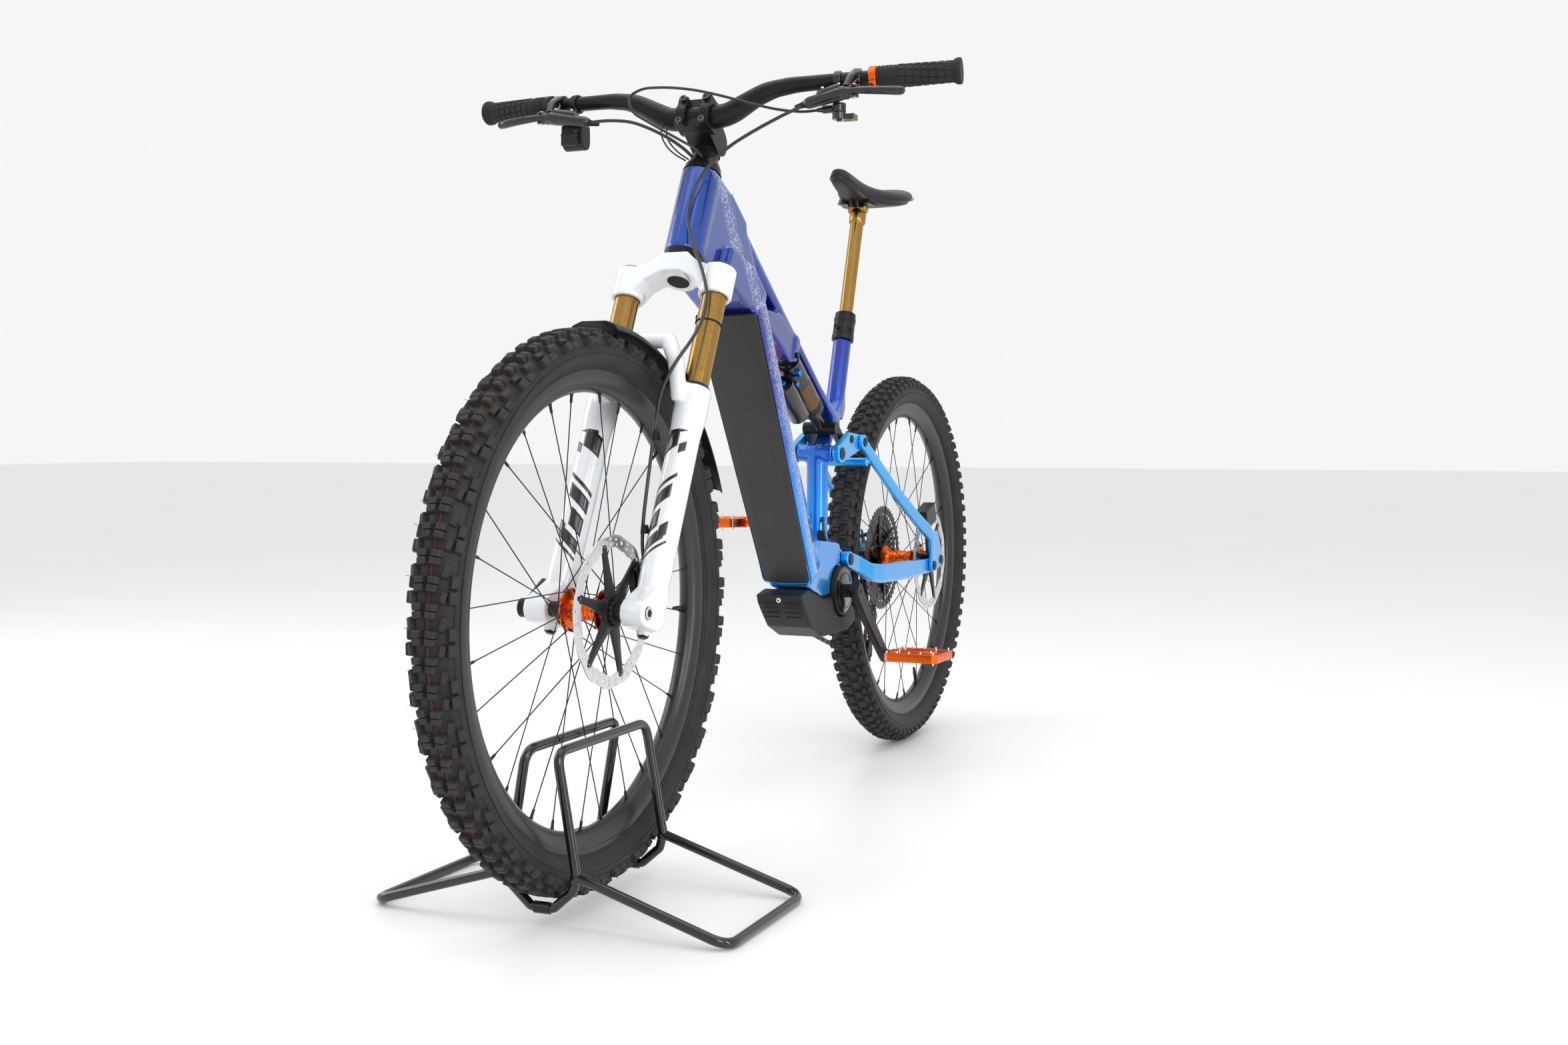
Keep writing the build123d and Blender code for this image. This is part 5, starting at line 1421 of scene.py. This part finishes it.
RG = 68.6
SG = 12.7 / (2 * math.sin(math.pi / 26))
up_a, up_c = (0 + 3, SG), (BB[0] - 12, BB[1] + RG - 1)
arc = [(BB[0] + RG * math.cos(math.radians(t)), BB[1] + RG * math.sin(math.radians(t))) for t in range(98, -101, -6)]
link_path(arc, "frame", "chain_on_ring")
o = link_path([(BB[0] + RG * math.cos(math.radians(98)), BB[1] + RG * math.sin(math.radians(98))), (SG * math.cos(math.radians(82)), SG * math.sin(math.radians(82)))], "swingarm", "chain_upper_run")
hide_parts("chain")
link_path([(BB[0] + RG * math.cos(math.radians(-101)), BB[1] + RG * math.sin(math.radians(-101))), (62, -188 - 23.5)], "swingarm", "chain_lower_run")
link_path([(SG * math.cos(math.radians(t)), SG * math.sin(math.radians(t))) for t in range(82, 300, 8)] + [(24 + 23 * math.cos(math.radians(t)), -118 + 23 * math.sin(math.radians(t))) for t in (60, 30, 0, -30)] + [(58 + 23 * math.cos(math.radians(t)), -188 + 23 * math.sin(math.radians(t))) for t in (150, 180, 210, 240, 270)], "stay", "chain_on_sprocket")
# callipers: bolts
b = Batch()
for q in ((66, 47, 85), (66, 47, 37)):
    pass
b.cyl(S(-30, 51, 85), S(-44, 51, 85), 4.5, seg=20, ch=0.8)
b.cyl(S(-30, 51, 37), S(-44, 51, 37), 4.5, seg=20, ch=0.8)
b.done("calliper_bolts", "dsteel", "fork_slider")

# ============================================================ post and saddle
SEAT_TOP, SEAT_LOW = (273.0, 664.0), (385.0, 317.0)
sdv = Vector((SEAT_TOP[0] - SEAT_LOW[0], 0, SEAT_TOP[1] - SEAT_LOW[1])).normalized()


def seat(z, off=0.0, y=0.0):
    t = (z - SEAT_LOW[1]) / sdv.z
    return P(SEAT_LOW[0] + sdv.x * t + sdv.z * off, y, z - sdv.x * off)


b = Batch()
b.cyl(seat(442.2), seat(651), 12.5, seg=72, ch=0.4)
b.cyl(seat(642), seat(669), 15.5, seg=56, prof=[(0, 12.6), (0.12, 15.0), (0.2, 15.6), (0.85, 15.6), (1, 14.0)])
b.cyl(P(SEAT_TOP[0] + 1, -17.5, 674), P(SEAT_TOP[0] + 1, 17.5, 674), 10.5, seg=48, ch=1.2)
o = b.done("post_look", "gold", "seatpost", angle=30, slot="gold")
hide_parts("dropper_post")
b = Batch()
for s0, s1, r in ((419.5, 430, 20.4), (432, 452, 19.6), (454, 462, 20.2), (462, 471, 17.6)):
    b.cyl(seat(s0), seat(s1), r, seg=56, ch=1.0)
b.cyl(seat(440, 19, -6), seat(440, 24, -6), 5.0, seg=20, ch=0.8)
b.cyl(seat(440, 12, 14), seat(440, 12, 23), 4.2, seg=20, ch=0.8)
b.done("post_collar_rings", "black", "frame")
b = Batch()
for s in (-1, 1):
    b.cyl(P(SEAT_TOP[0] + 22, s * 6, 676), P(SEAT_TOP[0] + 22, s * 6, 694), 3.6, seg=20, ch=0.5)
    m4 = basis(P, SEAT_TOP[0] - 2, 0, 686)
    b.box(m4, (-22, s * 22 - 6, -6), (22, s * 22 + 6, 3), 0.85)
b.done("rail_clamps", "black", "seatpost", bevel=0.0012)

stations = [(388, 5, 728.5, 7, 9), (384, 12, 730, 12, 14), (374, 18, 731, 16, 18), (350, 21, 728, 18, 19), (320, 24, 723, 20, 19), (290, 30, 718, 21, 19), (262, 41, 715.5, 22, 19), (236, 54, 715, 22, 19), (208, 66, 717.5, 22, 18), (180, 71, 721.5, 22, 17), (156, 70, 726, 21, 16), (138, 63, 729.5, 18, 14), (126, 50, 731, 13, 11), (121, 30, 731, 8, 8)]


def saddle_mesh(grow, lower, top_only):
    v, f = [], []
    N = 28
    for x, hw, zt, dr, th in stations:
        for k in range(N):
            u = k / N
            if u < 0.56:
                t = -1 + 2 * u / 0.56
                yy = hw * math.sin(t * math.pi / 2) * 1.0
                zz = zt - dr * abs(t) ** 2.4 - (2.6 * math.exp(-(yy / 7.0) ** 2) if 150 < x < 345 else 0)
            else:
                t = 1 - 2 * (u - 0.56) / 0.44
                yy = hw * 0.97 * math.sin(t * math.pi / 2)
                zz = zt - dr - 2.4 - (th - 7) * (1 - abs(t) ** 3) * 0.42
            v.append(P(x, yy * grow, zz - lower))
    for j in range(len(stations) - 1):
        for k in range(N):
            f.append((j * N + k, j * N + (k + 1) % N, (j + 1) * N + (k + 1) % N, (j + 1) * N + k))
    f.append(tuple(range(N)))
    f.append(tuple((len(stations) - 1) * N + k for k in range(N)))
    return v, f


v, f = saddle_mesh(1.0, 0, True)
sad = new_piece("saddle_pad", v, f, "saddle", "seatpost", angle=60, subsurf=2, slot="saddle_skin")
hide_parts("saddle")
v, f = saddle_mesh(0.90, 5.2, False)
new_piece("saddle_shell", v, f, "plastic", "seatpost", angle=60, subsurf=1)
b = Batch()      # piping round the edge of the cover
edge = []
for x, hw, zt, dr, th in stations:
    edge.append(P(x, hw * 0.995, zt - dr - 1.4))
edge2 = [Vector((p.x, -p.y, p.z)) for p in edge[::-1]]
b.tube(smooth_pts(edge, 4) + smooth_pts(edge2, 4), 0.9, seg=8, closed=True)
b.done("saddle_seam", "saddle", "seatpost")
b = Batch()
for s in (-1, 1):
    b.tube(smooth_pts([P(352, s * 10, 712), P(338, s * 14, 702), P(310, s * 21, 692), (P(280, s * 22, 688.5)), P(240, s * 22, 688), P(205, s * 24, 691), P(176, s * 27, 701), P(160, s * 29, 712)], 8), 3.5, seg=16)
b.done("saddle_rails", "dsteel", "seatpost")

# ====================================================================== stand
R = 6.5
X0, X1 = 1172.7, 1410.6
for tag, s in (("left", 1), ("right", -1)):
    b = Batch()
    loop = [F(X0, s * 258, R), F(X1, s * 258, R), F(X1, s * 49.6, 70.2), F(X1, s * 22.5, 224.5), F(X0, s * 22.5, 224.5), F(X0, s * 49.6, 70.2)]
    path = fillet(loop, [26, 26, 9, 22, 22, 9], closed=True, n=9)
    b.tube(path, R, seg=24, closed=True)
    for x in (X0, X1):
        b.tube(fillet([F(x, s * 50.5, 72), F(x, s * 44, 50), F(x, s * 17, 26.6), F(x, s * 8, 25.2)], 8, n=6), 6.2, seg=20)
        c = F(x, s * 48.5, 66.5)
        b.cyl(c + Vector((0, 0, -0.006)), c + Vector((0, 0, 0.006)), 8.0, seg=18, prof=[(0, 5), (0.3, 7.6), (0.7, 7.6), (1, 5)])
    o = b.done("stand_wire_" + tag, "gloss", "stand_half_" + tag, angle=60, slot="black_steel")
    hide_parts("stand_" + tag)
b = Batch()
for x in (X0, X1):
    pts = []
    turns, n = 9, 9 * 18
    for k in range(n + 1):
        t = k / n
        a = 2 * math.pi * turns * t
        pts.append(F(x + 6.6 * math.cos(a), -12 + 24 * t, 25.4 + 6.6 * math.sin(a)))
    b.tube(pts, 1.25, seg=8)
o = b.done("stand_coils", "gloss", "stand_centre", angle=70)
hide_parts("stand_springs")

# ============================================================ floor and light
fl = bpy.data.meshes.new("floor")
fl.from_pydata([(-30, -30, -0.0005), (30, -30, -0.0005), (30, 30, -0.0005), (-30, 30, -0.0005)], [], [(0, 1, 2, 3)])
floor = bpy.data.objects.new("floor", fl)
bpy.context.scene.collection.objects.link(floor)
fl.materials.append(finish_of("floor_paint", (0.90, 0.905, 0.91), 0.42, 0, 0, 0.02, 40, 0.012, 0.06, 1.5))

world = bpy.data.worlds.new("studio")
bpy.context.scene.world = world
world.use_nodes = True
bg = world.node_tree.nodes["Background"]
bg.inputs["Color"].default_value = (1.0, 1.0, 1.0, 1)
bg.inputs["Strength"].default_value = 0.86
wn = world.node_tree
bg2 = wn.nodes.new("ShaderNodeBackground")
bg2.inputs["Color"].default_value = (1.0, 1.0, 1.0, 1)
bg2.inputs["Strength"].default_value = 0.92
lp = wn.nodes.new("ShaderNodeLightPath")
mxs = wn.nodes.new("ShaderNodeMixShader")
wn.links.new(lp.outputs["Is Camera Ray"], mxs.inputs[0])
wn.links.new(bg.outputs[0], mxs.inputs[1])
wn.links.new(bg2.outputs[0], mxs.inputs[2])
wn.links.new(mxs.outputs[0], wn.nodes["World Output"].inputs["Surface"])
bpy.context.scene.view_settings.view_transform = "Standard"


def area(name, at, to, size, power, col=(1, 1, 1), sy=None):
    l = bpy.data.lights.new(name, "AREA")
    l.energy = power
    l.color = col
    l.shape = "RECTANGLE"
    l.size = size
    l.size_y = sy or size
    o = bpy.data.objects.new(name, l)
    bpy.context.scene.collection.objects.link(o)
    o.location = at
    o.rotation_mode = "QUATERNION"
    o.rotation_quaternion = (Vector(to) - Vector(at)).to_track_quat("-Z", "Y")
    return o


area("top", (0.2, 0.0, 3.6), (0, 0, 0.4), 3.4, 42, sy=3.4)
area("key", (3.2, 2.6, 2.4), (0.2, 0, 0.6), 1.8, 46)
area("side", (0.6, -3.4, 2.0), (0, 0, 0.6), 1.8, 26)
area("strip", (1.2, 3.2, 1.2), (0, 0, 0.6), 0.5, 26, sy=2.4)

cam = bpy.data.cameras.new("camera")
cam.lens = 37.304
cam.sensor_width = 36
cam.clip_end = 200
co = bpy.data.objects.new("camera", cam)
bpy.context.scene.collection.objects.link(co)
yaw, pit = math.radians(202.832), math.radians(-2.998)
d = Vector((math.cos(yaw) * math.cos(pit), math.sin(yaw) * math.cos(pit), math.sin(pit)))
co.location = (2.51559, 1.06833, 0.61933)
co.rotation_mode = "QUATERNION"
co.rotation_quaternion = d.to_track_quat("-Z", "Y")
bpy.context.scene.camera = co
